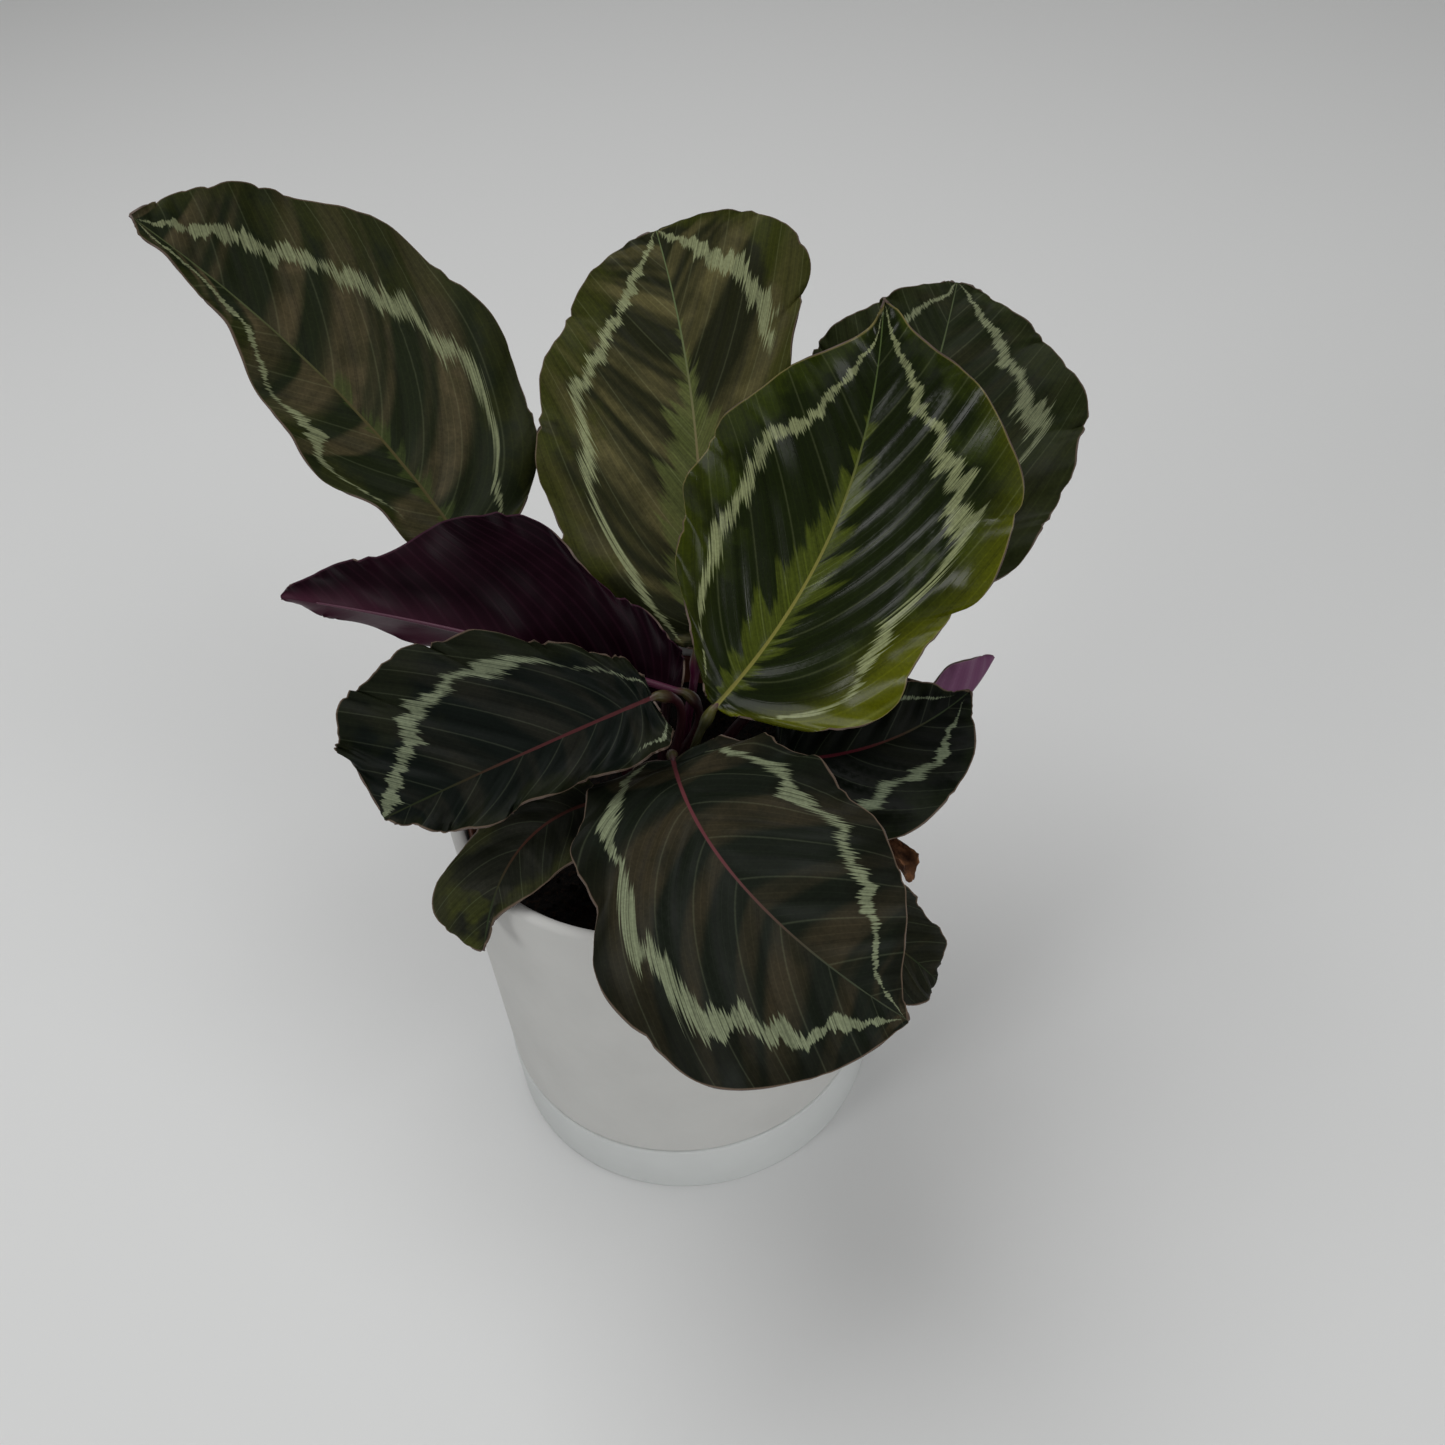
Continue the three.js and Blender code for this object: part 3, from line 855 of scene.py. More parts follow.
@dataclass(frozen=True)
class PottingMix(Finish):
    """Moist peat and bark: nearly black, matt crumbs of a few millimetres with browner bits."""

    name: str = "potting mix"
    wet: int = 0x0D0907
    bark: int = 0x2C1C12

    def shade(self, tree: Tree, place: Socket) -> dict[str, object]:
        """Add crumbs of 3 mm and grit of 1.5 mm, with browner bits.

        Args:
            tree: The material's node tree.
            place: The place on the piece.

        Returns:
            What goes into the shader's sockets, by name.
        """
        crumbs = put(tree, "ShaderNodeTexVoronoi", {}, {"Vector": place, "Scale": 1 / (3 * MM)})
        grit = put(
            tree, "ShaderNodeTexNoise", {}, {"Vector": place, "Scale": 1 / (1.5 * MM), "Detail": 4.0}
        )
        bits = put(tree, "ShaderNodeMapRange", {}, [grit, 0.5, 0.72, 0.0, 1.0])
        colour = put(
            tree, "ShaderNodeMix", RGBA, {0: bits, 6: linear(self.wet), 7: linear(self.bark)}
        )
        height = put(tree, "ShaderNodeMath", SUBTRACT, [grit, crumbs.outputs["Distance"]])
        bump = put(tree, "ShaderNodeBump", {}, {"Height": height, "Distance": 1.5 * MM})
        return {
            "Base Color": colour, "Roughness": 0.9, "Normal": bump, "Specular IOR Level": 0.2,
        }


@dataclass(frozen=True)
class DryLeafSkin(Finish):
    """Dead leaf tissue, dried out: brown, matt and papery, with blotches that are darker in its
    creases as painted shade.
    """

    name: str = "dry leaf"
    pale: int = 0x6E4A30
    dark: int = 0x2A170E

    def shade(self, tree: Tree, place: Socket) -> dict[str, object]:
        """Add blotches of 3 mm and the creases between them, where the colour darkens as painted
        shade.

        Args:
            tree: The material's node tree.
            place: The place on the piece.

        Returns:
            What goes into the shader's sockets, by name.
        """
        blotch = put(
            tree, "ShaderNodeTexNoise", {}, {"Vector": place, "Scale": 1 / (3 * MM), "Detail": 4.0}
        )
        # Painted shade: the blotches' dark parts lie where the bump sinks into creases
        mixed = put(tree, "ShaderNodeMapRange", {}, [blotch, 0.35, 0.65, 0.0, 1.0])
        colour = put(
            tree, "ShaderNodeMix", RGBA, {0: mixed, 6: linear(self.dark), 7: linear(self.pale)}
        )
        bump = put(tree, "ShaderNodeBump", {}, {"Height": blotch, "Distance": 0.8 * MM})
        return {
            "Base Color": colour, "Roughness": 0.8, "Normal": bump, "Specular IOR Level": 0.2,
        }


@dataclass(frozen=True)
class MattSheet(Finish):
    """Matt sheet of the studio's floor: pale and even, with no gloss to show."""

    name: str = "pale matt floor"
    colour: int = 0xE2E3E3

    def shade(self, tree: Tree, place: Socket) -> dict[str, object]:
        """Give the sheet its even colour."""
        return {"Base Color": linear(self.colour), "Roughness": 0.9}


def finish_piece(
    piece: Piece, slot: Slot, finish: Finish | None = None, nodes: Sequence[str] = ()
) -> None:
    """Dress a finished piece and tie it to the frame.

    Args:
        piece: The piece, in place.
        slot: The record's material slot of the piece, which is only logged.
        finish: What it is dressed in, or nothing where it has its materials.
        nodes: The solids that it stands for.
    """
    if finish:
        piece.data.materials.append(finish.build())
    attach(piece, "root")
    if nodes:
        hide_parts(*nodes)
    log.info("%s: %d faces, slot %s", piece.name, len(piece.data.polygons), slot.value)


@dataclass(frozen=True)
class Margin:
    """One side of a blade, in millimetres and degrees.

    Its half widths are given at even steps of the margin from base to tip, then the reach of its
    lobe back past the base and of its shoulder on towards the tip, the fold at the midrib, the
    curl out to the margin at the base and at the tip, and where its waves start in their cycle.
    Then come its markings, also at even steps: the way out at which the ring runs, the ring's half
    width and the feather's width, all as hundredths of the way across. Lean is the angle of the
    side veins from the midrib, at the midrib and at the margin. A notch is the share of the margin
    where it is, its depth, and how far it spreads.
    """

    widths: Row
    lobe: float = 16
    shoulder: float = 0
    fold: float = 8
    curl: tuple[float, float] = (10, 10)
    phase: float = 0
    ring: Row = (30, 40, 52, 60, 64, 65, 64, 60, 50, 30, 10)
    band: Row = (0, 1, 4, 5, 5, 6, 6, 6, 7, 5, 0)
    plume: Row = (0, 0)
    lean: tuple[float, float] = (42, 14)
    notches: tuple[tuple[float, float, float], ...] = ()


@dataclass(frozen=True)
class Leaf:
    """A leaf: its blade and the petiole that it stands on, in millimetres and degrees.

    Its base and tip are the ends of the midrib, faces is the azimuth and elevation in which its
    upper face looks, and root is where it stands in the soil. Bow lifts the midrib's middle and
    sway moves it to the left. Waves, pleats and their heights, scallops, frills and blisters shape
    the blade, and foot is the petiole's radius at its root.
    """

    name: str
    base: Place
    tip: Place
    faces: tuple[float, float]
    left: Margin
    right: Margin
    root: tuple[float, float]
    skin: LeafSkin | DryLeafSkin
    stalk: StalkSkin
    under: LeafUnderside = LeafUnderside()
    bow: float = 0
    sway: float = 0
    waves: float = 6
    wave: float = 2.4
    foot: float = 2.2
    pleats: float = 11
    pleat: float = 0.8
    scallop: float = 1
    frill: float = 0.4
    blister: float = 0.4
    slot: Slot = Slot.LEAF
    rows: int = 140
    columns: int = 40

    @property
    def upper(self) -> Vector:
        """Give the direction in which the upper face looks."""
        return across(direction(*self.faces), (Vector(self.tip) - Vector(self.base)).normalized())

    @property
    def rib(self) -> Curve:
        """Give the midrib.

        Returns:
            Its curve, from the base to the tip.
        """
        base, tip = Vector(self.base), Vector(self.tip)
        left = self.upper.cross((tip - base).normalized())
        middle = (base + tip) / 2 + self.upper * 2 * self.bow + left * 2 * self.sway
        return Curve([base, middle, tip])

    def vein_root(self, length: float, side: Margin, x: float, y: float) -> float:
        """Follow a side vein back to the midrib.

        Args:
            length: The length of the midrib.
            side: The side of the blade.
            x: The way along the flattened blade.
            y: The way out from the midrib.

        Returns:
            Where the vein starts, as a share that has even steps along the margin.
        """
        steps, reach, fan_reach = 10, max(side.widths), FAN_SHARE * length
        for i in range(steps):
            out = y * (1 - (i + 0.5) / steps)
            angle = lerp(*side.lean, out / reach)
            fan = math.exp(-x / fan_reach) if x > 0 else 1 - 0.3 * x / fan_reach
            angle = min(GREATEST_ANGLE, max(LEAST_ANGLE, angle + (FAN_ANGLE - angle) * fan))
            x -= y / steps / math.tan(math.radians(angle))
        run = min(1.0, max(0.0, x / length)) ** (1 / VEIN_RAKE)
        return math.acos(1 - 2 * run) / math.pi

    def blade_point(
        self, rib: Curve, upper: Vector, share: float, signed_way: float
    ) -> tuple[Vector, dict[str, tuple[float, float]]]:
        """Give a point of the blade's middle surface.

        Args:
            rib: The midrib.
            upper: The direction in which the upper face looks.
            share: The share of the margin, from base to tip, at which the side vein ends.
            signed_way: The share of its way that the vein has covered, positive on the left.

        Returns:
            The point in millimetres, and its place in each UV map.
        """
        # Where the side vein starts and ends on the flattened blade, and the point on its way
        side = self.left if signed_way >= 0 else self.right
        way = abs(signed_way)
        swell = math.sin(math.pi * share)
        run = (1 - math.cos(math.pi * share)) / 2
        cycle = 2 * math.pi * (self.waves * share + side.phase)
        root_x = rib.length * run**VEIN_RAKE
        push = swell**2 * (side.shoulder * share**3 - side.lobe * (1 - share) ** 3)
        end_x = rib.length * run + push
        crimp = crimped(cycle)
        end_y = along(side.widths, share) * swell + self.scallop * swell * math.cos(cycle)
        end_y += 0.6 * self.frill * crimp * swell
        for where, depth, spread in side.notches:
            end_y -= depth * swell * math.exp(-abs(share - where) / spread)
        start, halfway, end = (1 - way) ** 2, 2 * (1 - way) * way, way**2
        x = start * root_x + halfway * lerp(root_x, end_x, VEIN_LEAN) + end * end_x
        y = (halfway * VEIN_ARCH + end) * end_y
        lane = self.vein_root(rib.length, side, x, y)

        # The nearest point of the midrib, and the fold and curl out from it
        on = min(max(x, 0.0), rib.length)
        ahead = rib.ahead(on / rib.length)
        point = rib.at(on / rib.length) + ahead * (x - on)
        up = across(upper, ahead)
        left = up.cross(ahead)
        reach = max(side.widths)
        fold = math.radians(side.fold)
        curl = math.radians(lerp(*side.curl, share)) + 1e-4
        turn = fold + curl * y / reach
        out = reach * (math.sin(turn) - math.sin(fold)) / curl
        rise = reach * (math.cos(fold) - math.cos(turn)) / curl

        # Waves and frills of the margin, pleats between the side veins, the midrib's groove, and
        # soft blisters of the lamina
        rise += self.wave * way**WAVE_POWER * math.sqrt(swell) * math.sin(cycle)
        rise += self.frill * way**FRILL_POWER * min(1.0, 3 * swell) * crimp
        swing = math.cos(2 * math.pi * self.pleats * (lane + 0.008 * math.sin(17 * lane + self.waves)))
        rise += self.pleat * min(1.0, y / PLEAT_REACH, 3 * swell) * (1 - 0.6 * way**3) * swing
        rise -= GROOVE_DEPTH * (1 - run) * math.exp(-((y / GROOVE_WIDTH) ** 2))
        spot = Vector((x, math.copysign(y, signed_way), 40 * self.waves + self.base[0])) / BLISTER_SIZE
        rise += self.blister * min(1.0, y / BLISTER_REACH) * noise.noise(spot)
        maps = {
            VEIN_MAP: (lane, signed_way / 2 + 0.5),
            REACH_MAP: (y * MM, max(0.0, end_y - y) * MM),
            RING_MAP: (way - along(side.ring, share) / 100, max(0.0, along(side.band, share)) / 100),
            ZONE_MAP: (way - along(side.plume, share) / 100, share),
        }
        return point + left * (out if signed_way >= 0 else -out) + up * rise, maps

    def build_blade(self, under: Material, edge: Material) -> None:
        """Build the blade and dress it.

        Args:
            under: The finish of its underside.
            edge: The finish of its margin.
        """
        rib, upper = self.rib, self.upper
        half = self.columns // 2
        cells = {}
        for row in range(self.rows + 1):
            share = lerp(BLUNT_BASE, 1 - BLUNT_TIP, row / self.rows)
            for column in range(self.columns + 1):
                step = (column - half) / half
                way = math.copysign(abs(step) ** COLUMN_CROWDING, step)
                cells[row, column] = self.blade_point(rib, upper, share, way)

        piece = shaped_grid(
            f"leaf_{self.name}",
            self.rows,
            self.columns,
            lambda row, column: cells[row, column][0] * MM,
            {
                title: lambda row, column, title=title: cells[row, column][1][title]
                for title in (VEIN_MAP, REACH_MAP, RING_MAP, ZONE_MAP)
            },
        )
        bpy.ops.object.modifier_add(type="SOLIDIFY")
        solid = piece.modifiers[-1]
        solid.thickness = BLADE_THICKNESS * MM
        solid.offset = 0
        solid.material_offset = 1
        solid.material_offset_rim = 2
        dry = isinstance(self.skin, DryLeafSkin)
        skin = self.skin.build() if dry else replace(self.skin, pleats=self.pleats).build()
        for material in [skin] * 3 if dry else [skin, under, edge]:
            piece.data.materials.append(material)
        bpy.ops.object.modifier_apply(modifier=solid.name)
        bpy.ops.object.shade_smooth_by_angle(angle=math.radians(50))
        finish_piece(piece, self.slot, nodes=[f"blade_{self.name}"])

    def stalk_way(self) -> tuple[Curve, float]:
        """Give the way of the petiole.

        Returns:
            Its curve, from under the soil to the blade, and the share of it at which the knob starts.
        """
        ahead = self.rib.ahead(0)
        end = Vector(self.base) - ahead * KNOB_GAP
        start = Vector((*self.root, SOIL_TOP - STEM_DEPTH))
        reach = (end - start).length
        rising = start + Vector((0, 0, 1)) * RISE_SHARE * reach
        arrival = ahead.lerp(Vector((0, 0, 1)), END_LIFT).normalized()
        curve = Curve([start, rising, end - arrival * BEND_SHARE * reach, end])
        return curve, 1 - KNOB_LENGTH / curve.length

    def stations(self) -> list[tuple[Vector, Vector, float]]:
        """Give the places along the petiole, and on along the rib under the blade.

        Returns:
            The middle, the direction and the radius at each place, in millimetres.
        """
        curve, knob = self.stalk_way()
        rib, upper = self.rib, self.upper
        places = []
        for i in range(STALK_STEPS + 1):
            share = i / STALK_STEPS
            radius = lerp(self.foot, STALK_RADIUS, min(1.0, TAPER * share))
            swelling = math.sin(math.pi * min(max((share - knob) / (1 - knob), 0.0), 1.0))
            places.append((curve.at(share), curve.ahead(share), lerp(radius, KNOB_RADIUS, swelling)))
        for i in range(1, RIB_STEPS + 1):
            run = RIB_REACH * (i / RIB_STEPS) ** ROW_CROWDING
            share = math.acos(1 - 2 * run ** (1 / VEIN_RAKE)) / math.pi
            radius = lerp(*RIB_RADII, run / RIB_REACH)
            ahead = rib.ahead(run)
            point, _ = self.blade_point(rib, upper, min(max(share, 0.0), 1.0), 0.0)
            drop = across(upper, ahead) * (RIB_DROP + RIB_SINK * radius)
            places.append((point - drop, ahead, radius))
        return places

    def build_stalk(self, sides: int = 16) -> None:
        """Build the petiole, with its knob and the rib in which it goes on under the blade.

        Args:
            sides: How many sides the stalk has.
        """
        upper, stations = self.upper, self.stations()
        lengths = [0.0]
        for (a, _, _), (b, _, _) in zip(stations, stations[1:]):
            lengths.append(lengths[-1] + (b - a).length)
        shares = [length / lengths[-1] for length in lengths]
        last = len(stations) - 1

        def place(row: int, column: int) -> Vector:
            """Give a point of the stalk's skin, closed by a point at each end.

            Args:
                row: The row of the point, from the root on.
                column: Its place round the stalk.

            Returns:
                The point in metres.
            """
            if row in (0, last + 2):
                return stations[0 if row == 0 else last][0] * MM
            centre, ahead, radius = stations[row - 1]
            side = across(upper, ahead)
            angle = 2 * math.pi * column / sides
            around = side * math.cos(angle) + side.cross(ahead) * math.sin(angle)
            return (centre + around * radius) * MM

        piece = shaped_grid(
            f"stalk_{self.name}",
            last + 2,
            sides,
            place,
            {VEIN_MAP: lambda row, column: (shares[min(max(row - 1, 0), last)], column / sides)},
            closed=True,
        )
        bpy.ops.object.shade_smooth_by_angle(angle=math.radians(60))
        finish = replace(self.stalk, knob_share=shares[STALK_STEPS])
        finish_piece(piece, Slot.PETIOLE, finish, [f"petiole_{self.name}"])


BURGUNDY = LeafUnderside()
# A paler mauve copy of the underside for two thinner leaves: painted light shining through them
BACKLIT_MAUVE = LeafUnderside("mauve leaf underside", skin=0x4A2440, pale=0x6A4460, margin=0x7A5A68)

RED_STALK = StalkSkin("red leaf stalk", stalk=0x2E1016, knob=0x3E3A1C)
SHEATHED_STALK = StalkSkin("sheathed leaf stalk", sheath=0x5A1C3C, stalk=0x5A1C3C, knob=0x3E3420)
OLIVE_STALK = StalkSkin("olive leaf stalk", stalk=0x2C2C14, knob=0x4C4A1C)
DRY_STALK = StalkSkin("dry leaf stalk", sheath=0x3A1C14, stalk=0x4A3020, knob=0x5A3C24, rib=0x4A3020)

LEAVES = (
    Leaf(
        "back_left", (-50, 49, 197), (-136, 106, 290), (40, 50),
        Margin(
            (38, 28, 22, 27, 19, 8, 8, 0), phase=0.5,
            ring=(60, 60, 60, 60, 60, 60, 62, 64, 67, 76, 74, 78, 78, 72, 55, 45, 40, 40, 35, 30, 30),
            band=(0, 0, 0, 0, 0, 0, 1, 2, 3, 4, 14, 3, 4, 6, 8, 10, 14, 12, 8, 0, 0),
            plume=(0, 0, 4, 12, 17, 15, 4, 0, 0, 0, 0),
        ),
        Margin(
            (48, 50, 52, 54, 52, 46, 36, 8), phase=0.5,
            ring=(30, 30, 30, 33, 35, 38, 42, 54, 58, 63, 63, 62, 58, 58, 53, 43, 40, 32, 22, 12, 10),
            band=(0, 0, 0, 2, 3, 3, 3, 4, 3, 6, 5, 6, 7, 5, 9, 8, 12, 11, 6, 0, 0),
            plume=(0, 0, 4, 11, 14, 15, 10, 0, 0, 0, 0),
            notches=((0.89, 6, 0.009), (0.84, 2.4, 0.008), (0.805, 4, 0.01), (0.74, 2, 0.01),
                     (0.69, 1.6, 0.012), (0.62, 1.2, 0.03)),
        ),
        (-8, 11),
        LeafSkin(
            "leaf lamina, back left", deep=0x1A200F, outer=0x262A10, streak=0x564C36, band=0x7C8262,
            feather=0x3A4420, rib=0x4A4428, rib_tip=0x4A5234, streaks=0.8, seed=1.0,
        ),
        RED_STALK, bow=-10, sway=-12, pleats=12,
    ),
    Leaf(
        "back_middle", (17, 13, 182), (17, 121, 262), (-15, 44),
        Margin(
            (22, 32, 45, 48, 49, 47, 47, 54), phase=0.25,
            ring=(30, 30, 30, 30, 30, 32, 38, 47, 55, 60, 64, 68, 69, 68, 60, 56, 43, 31, 25, 15, 10),
            band=(0, 0, 0, 2, 3.5, 4.5, 5, 6, 6, 5, 5, 5, 5.5, 5.5, 7, 6, 10, 7, 7, 3, 0),
            plume=(0, 0, 10, 20, 30, 32, 25, 12, 0, 0, 0),
            lean=(36, 10),
        ),
        Margin(
            (26, 26, 26, 26, 34, 57, 70, 64), phase=0.75,
            ring=(30, 30, 30, 35, 40, 50, 55, 60, 64, 66, 68, 68, 68, 68, 60, 50, 42, 34, 20, 12, 10),
            band=(0, 0, 0, 1, 2, 3, 4, 5, 5, 5, 4, 2, 0, 4, 13, 8, 14, 11, 10, 4, 0),
            plume=(0, 0, 10, 18, 23, 26, 24, 12, 0, 0, 0),
            lean=(30, 20),
            notches=((0.66, 3.0, 0.02), (0.735, 2.0, 0.012), (0.79, 0.9, 0.01), (0.83, 1.2, 0.01),
                     (0.87, 0.9, 0.01)),
        ),
        (6, 8),
        LeafSkin(
            "leaf lamina, back middle", deep=0x1E200E, outer=0x30340C, streak=0x605A38, band=0x868C68,
            feather=0x5A6234, rib=0x7A6E4C, rib_tip=0x5A6844, streaks=0.9, seed=2.3,
        ),
        SHEATHED_STALK, bow=-1, sway=-6, foot=3.2, pleats=12, frill=0.6,
    ),
    Leaf(
        "new_right", (21, -6, 176), (77, 42, 276), (-12, 51),
        Margin(
            (26, 22, 37, 43, 43, 34, 5, 0), phase=0.75,
            ring=(45, 47, 50, 50, 50, 52, 53, 57, 60, 62, 62, 62, 64, 58, 50, 43, 42, 35, 30, 25, 20),
            band=(0, 0, 0, 0, 2, 3, 4, 5, 6, 6, 7, 5, 6, 9, 6, 6, 8, 7, 4, 0, 0),
            plume=(0, 12, 20, 26, 28, 25, 20, 11, 0, 0, 0),
            lean=(36, 22),
        ),
        Margin(
            (22, 27, 48, 43, 52, 48, 18, 0), phase=0.5,
            ring=(30, 32, 35, 40, 42, 48, 52, 60, 68, 68, 62, 66, 68, 57, 53, 42, 40, 35, 30, 25, 20),
            band=(0, 0, 0, 0, 1, 3, 4.5, 2, 5, 7, 3.5, 3, 9, 14, 7, 8, 8, 9, 6, 0, 0),
            plume=(0, 9, 13, 16, 18, 20, 20, 12, 0, 0, 0),
            lean=(32, 20),
            notches=((0.11, 2.6, 0.02), (0.255, 2.0, 0.015), (0.385, 1.2, 0.015), (0.475, 3.2, 0.014),
                     (0.6, 1.6, 0.012)),
        ),
        (12, 1),
        LeafSkin(
            "young leaf lamina", deep=0x141C04, outer=0x2A3406, streak=0x202A08, band=0x8A9068,
            feather=0x4C5618, rib=0x7C783C, rib_tip=0x4A5830, flush=0x545808, flush_amount=0.95,
            streaks=0.3, roughness=(0.17, 0.3), gloss=0.24, margin=0x7E7448, seed=3.1,
        ),
        OLIVE_STALK, bow=-11, sway=-10, waves=7, slot=Slot.NEW_LEAF, pleats=10, pleat=0.7,
    ),
    Leaf(
        "back_right", (63, 20, 190), (108, 96, 248), (-15, 53),
        Margin(
            (22, 30, 42, 44, 41, 36, 27), phase=0.25,
            ring=(30, 30, 40, 50, 60, 62, 62, 56, 48, 22, 10),
            band=(0, 0, 3, 5, 5, 5, 5, 5, 6, 7, 0),
        ),
        Margin(
            (43, 45, 49, 50, 52, 38, 24), phase=0.5,
            ring=(30, 32, 35, 40, 45, 50, 53, 56, 58, 60, 62, 63, 67, 64, 60, 58, 52, 45, 40, 25, 10),
            band=(0, 0, 0, 2, 3, 4, 5, 5, 5, 5, 4, 3, 7, 11, 5, 9, 8, 8, 7, 3, 0),
            notches=((0.49, 2.0, 0.015), (0.7, 1.2, 0.012), (0.765, 1.6, 0.012), (0.83, 1.6, 0.01),
                     (0.88, 2.4, 0.01)),
        ),
        (14, 8),
        LeafSkin(
            "leaf lamina, back right", deep=0x1C2210, outer=0x262C14, streak=0x322E1E, band=0x7C8264,
            rib=0x44462A, rib_tip=0x4A5438, streaks=0.4, seed=4.7,
        ),
        RED_STALK, bow=-4, sway=-3, waves=7, pleats=11, frill=0.8,
    ),
    Leaf(
        "burgundy_left", (11, 2, 176), (-109, 41, 195), (180, -25),
        Margin((30, 27, 26, 38, 22, 15, 9), lobe=20, phase=0.5),
        Margin((26, 24, 20, 18, 15, 11, 7), lobe=20, fold=45),
        (-2, 4),
        LeafSkin("leaf lamina, left", seed=5.9),
        RED_STALK, bow=-4, sway=4, pleat=0.25, frill=0.7, blister=3,
    ),
    Leaf(
        "front_left", (3, -8, 184), (-76, -32, 170), (-5, 52),
        Margin(
            (22, 26, 22, 15, 17, 10, 6), lobe=45, fold=-20, curl=(120, 80),
            ring=(70, 70), band=(0, 2, 8, 3, 0, 0, 0, 0, 0, 0, 0),
        ),
        Margin(
            (22, 22, 27, 40, 42, 46, 110), lobe=28, shoulder=64, phase=0.5,
            ring=(35, 35, 38, 42, 46, 50, 54, 57, 62, 64, 62, 63, 62, 57, 51, 42, 31, 20, 12, 5, 0),
            band=(0, 0, 3, 5, 4, 3, 2, 2, 2, 5, 11, 4, 5, 9, 11, 7, 10, 14, 15, 10, 5),
            notches=((0.3, 2.0, 0.02), (0.44, 1.2, 0.015), (0.53, 1.6, 0.012), (0.585, 1.2, 0.012)),
        ),
        (-1, -4),
        LeafSkin(
            "leaf lamina, front left", deep=0x0A100C, outer=0x161A0E, streak=0x343026, band=0x747C64,
            rib=0x4A2426, rib_tip=0x242A18, rib_width=0.6, streaks=0.3, seed=6.4,
        ),
        RED_STALK, bow=3, waves=8, pleats=12, frill=0.9,
    ),
    Leaf(
        "small_left", (-15, -15, 150), (-53, -55, 134), (-21, 52),
        Margin((24, 23, 20, 11, 2, 0), phase=0.5, band=(0, 0)),
        Margin((12, 11, 11, 16, 23, 17), phase=0.25, band=(0, 0)),
        (-8, -4),
        LeafSkin(
            "leaf lamina, small left", deep=0x1A1C14, outer=0x2C2E18, streak=0x32322A, rib=0x4A2A24,
            streaks=0.6, tip_amount=0.8, seed=7.2,
        ),
        RED_STALK, bow=12, sway=-7, waves=4, rows=72, columns=28, pleats=10, pleat=0.5,
    ),
    Leaf(
        "front", (7, -16, 166), (63, -104, 152), (7, 57),
        Margin(
            (42, 40, 37, 38, 38, 37, 15, 0), phase=0.5,
            ring=(40, 40, 42, 44, 45, 50, 53, 60, 64, 70, 68, 70, 72, 70, 62, 55, 46, 38, 30, 20, 10),
            band=(0, 0, 0, 0, 2, 4, 8, 4, 5, 6, 11, 5, 4, 6, 10, 6, 6, 6, 5, 1, 0),
            lean=(50, 14),
        ),
        Margin(
            (46, 44, 40, 40, 50, 49, 30, 6),
            ring=(40, 40, 45, 48, 50, 53, 55, 58, 65, 65, 62, 61, 64, 64, 55, 62, 46, 40, 30, 20, 10),
            band=(0, 0, 3, 6, 9, 10, 13, 10, 5, 6, 10, 9, 8, 14, 9, 12, 12, 11, 5, 0, 0),
            lean=(42, 26),
            notches=((0.435, 3.2, 0.03), (0.585, 1.2, 0.02)),
        ),
        (8, -7),
        LeafSkin(
            "leaf lamina, front", deep=0x141911, outer=0x10130A, streak=0x3E3626, band=0x7C8468,
            rib=0x5E3034, rib_tip=0x3A4030, streaks=0.7, seed=8.8,
        ),
        RED_STALK, bow=14, sway=-11, pleats=12,
    ),
    Leaf(
        "right", (37, -15, 160), (97, -4, 170), (10, 60),
        Margin(
            (38, 35, 28, 19, 9, 0), phase=0.5,
            ring=(60, 60), band=(0, 0, 3, 4, 4, 4, 4, 4, 2, 0, 0),
        ),
        Margin(
            (38, 36, 30, 25.5, 13, 2), phase=0.5,
            ring=(30, 30, 35, 40, 45, 50, 52, 54, 54, 54, 52, 48, 50, 54, 50, 45, 40, 30, 25, 20, 10),
            band=(0, 0, 0, 4, 6, 7, 7, 7, 7, 7, 8, 6, 8, 11, 9, 6, 3, 2, 0, 0, 0),
        ),
        (18, -4),
        LeafSkin(
            "leaf lamina, right", deep=0x050904, outer=0x12180A, streak=0x14160C, band=0x6E7860,
            rib=0x42121A, streaks=0.5, seed=9.5,
        ),
        RED_STALK, bow=6, sway=-7, waves=5, rows=72, columns=28, pleats=10,
    ),
    Leaf(
        "right_rolled", (60, 6, 147), (109, 17, 163), (0, 37),
        Margin((14, 19, 19, 13, 7, 3), band=(0, 0)),
        Margin((4, 8, 13, 20, 23, 20), fold=132, band=(0, 0)),
        (19, 4),
        LeafSkin("leaf lamina, rolled right", deep=0x0C120A, outer=0x1A2012, seed=10.6),
        RED_STALK, BACKLIT_MAUVE, sway=-10, waves=4, rows=72, columns=28, pleats=9,
    ),
    Leaf(
        "small_right", (38, -56, 148), (77, -71, 120), (55, 52),
        Margin((4, 9, 14, 16, 17, 13), band=(0, 0)),
        Margin((12, 16, 18, 18, 18, 14), band=(0, 0)),
        (13, -11),
        LeafSkin("leaf lamina, small right", deep=0x1A1C12, outer=0x20221A, streaks=0.3, seed=11.3),
        RED_STALK, bow=5, waves=4, rows=72, columns=28, pleats=9,
    ),
    Leaf(
        "dry_right", (58, -31, 147.5), (73, -50, 141), (50, 60),
        Margin((4, 7, 7, 5), curl=(60, 140)),
        Margin((4, 7, 7, 5), curl=(80, 120)),
        (20, -10),
        DryLeafSkin(),
        DRY_STALK, bow=2, waves=3, slot=Slot.DRY_LEAF, rows=48, columns=20, pleats=7,
    ),
    Leaf(
        "hidden_back", (4, 45, 160), (-24, 112, 205), (10, 40),
        Margin((18, 22, 24, 26, 24, 14), curl=(100, 170)),
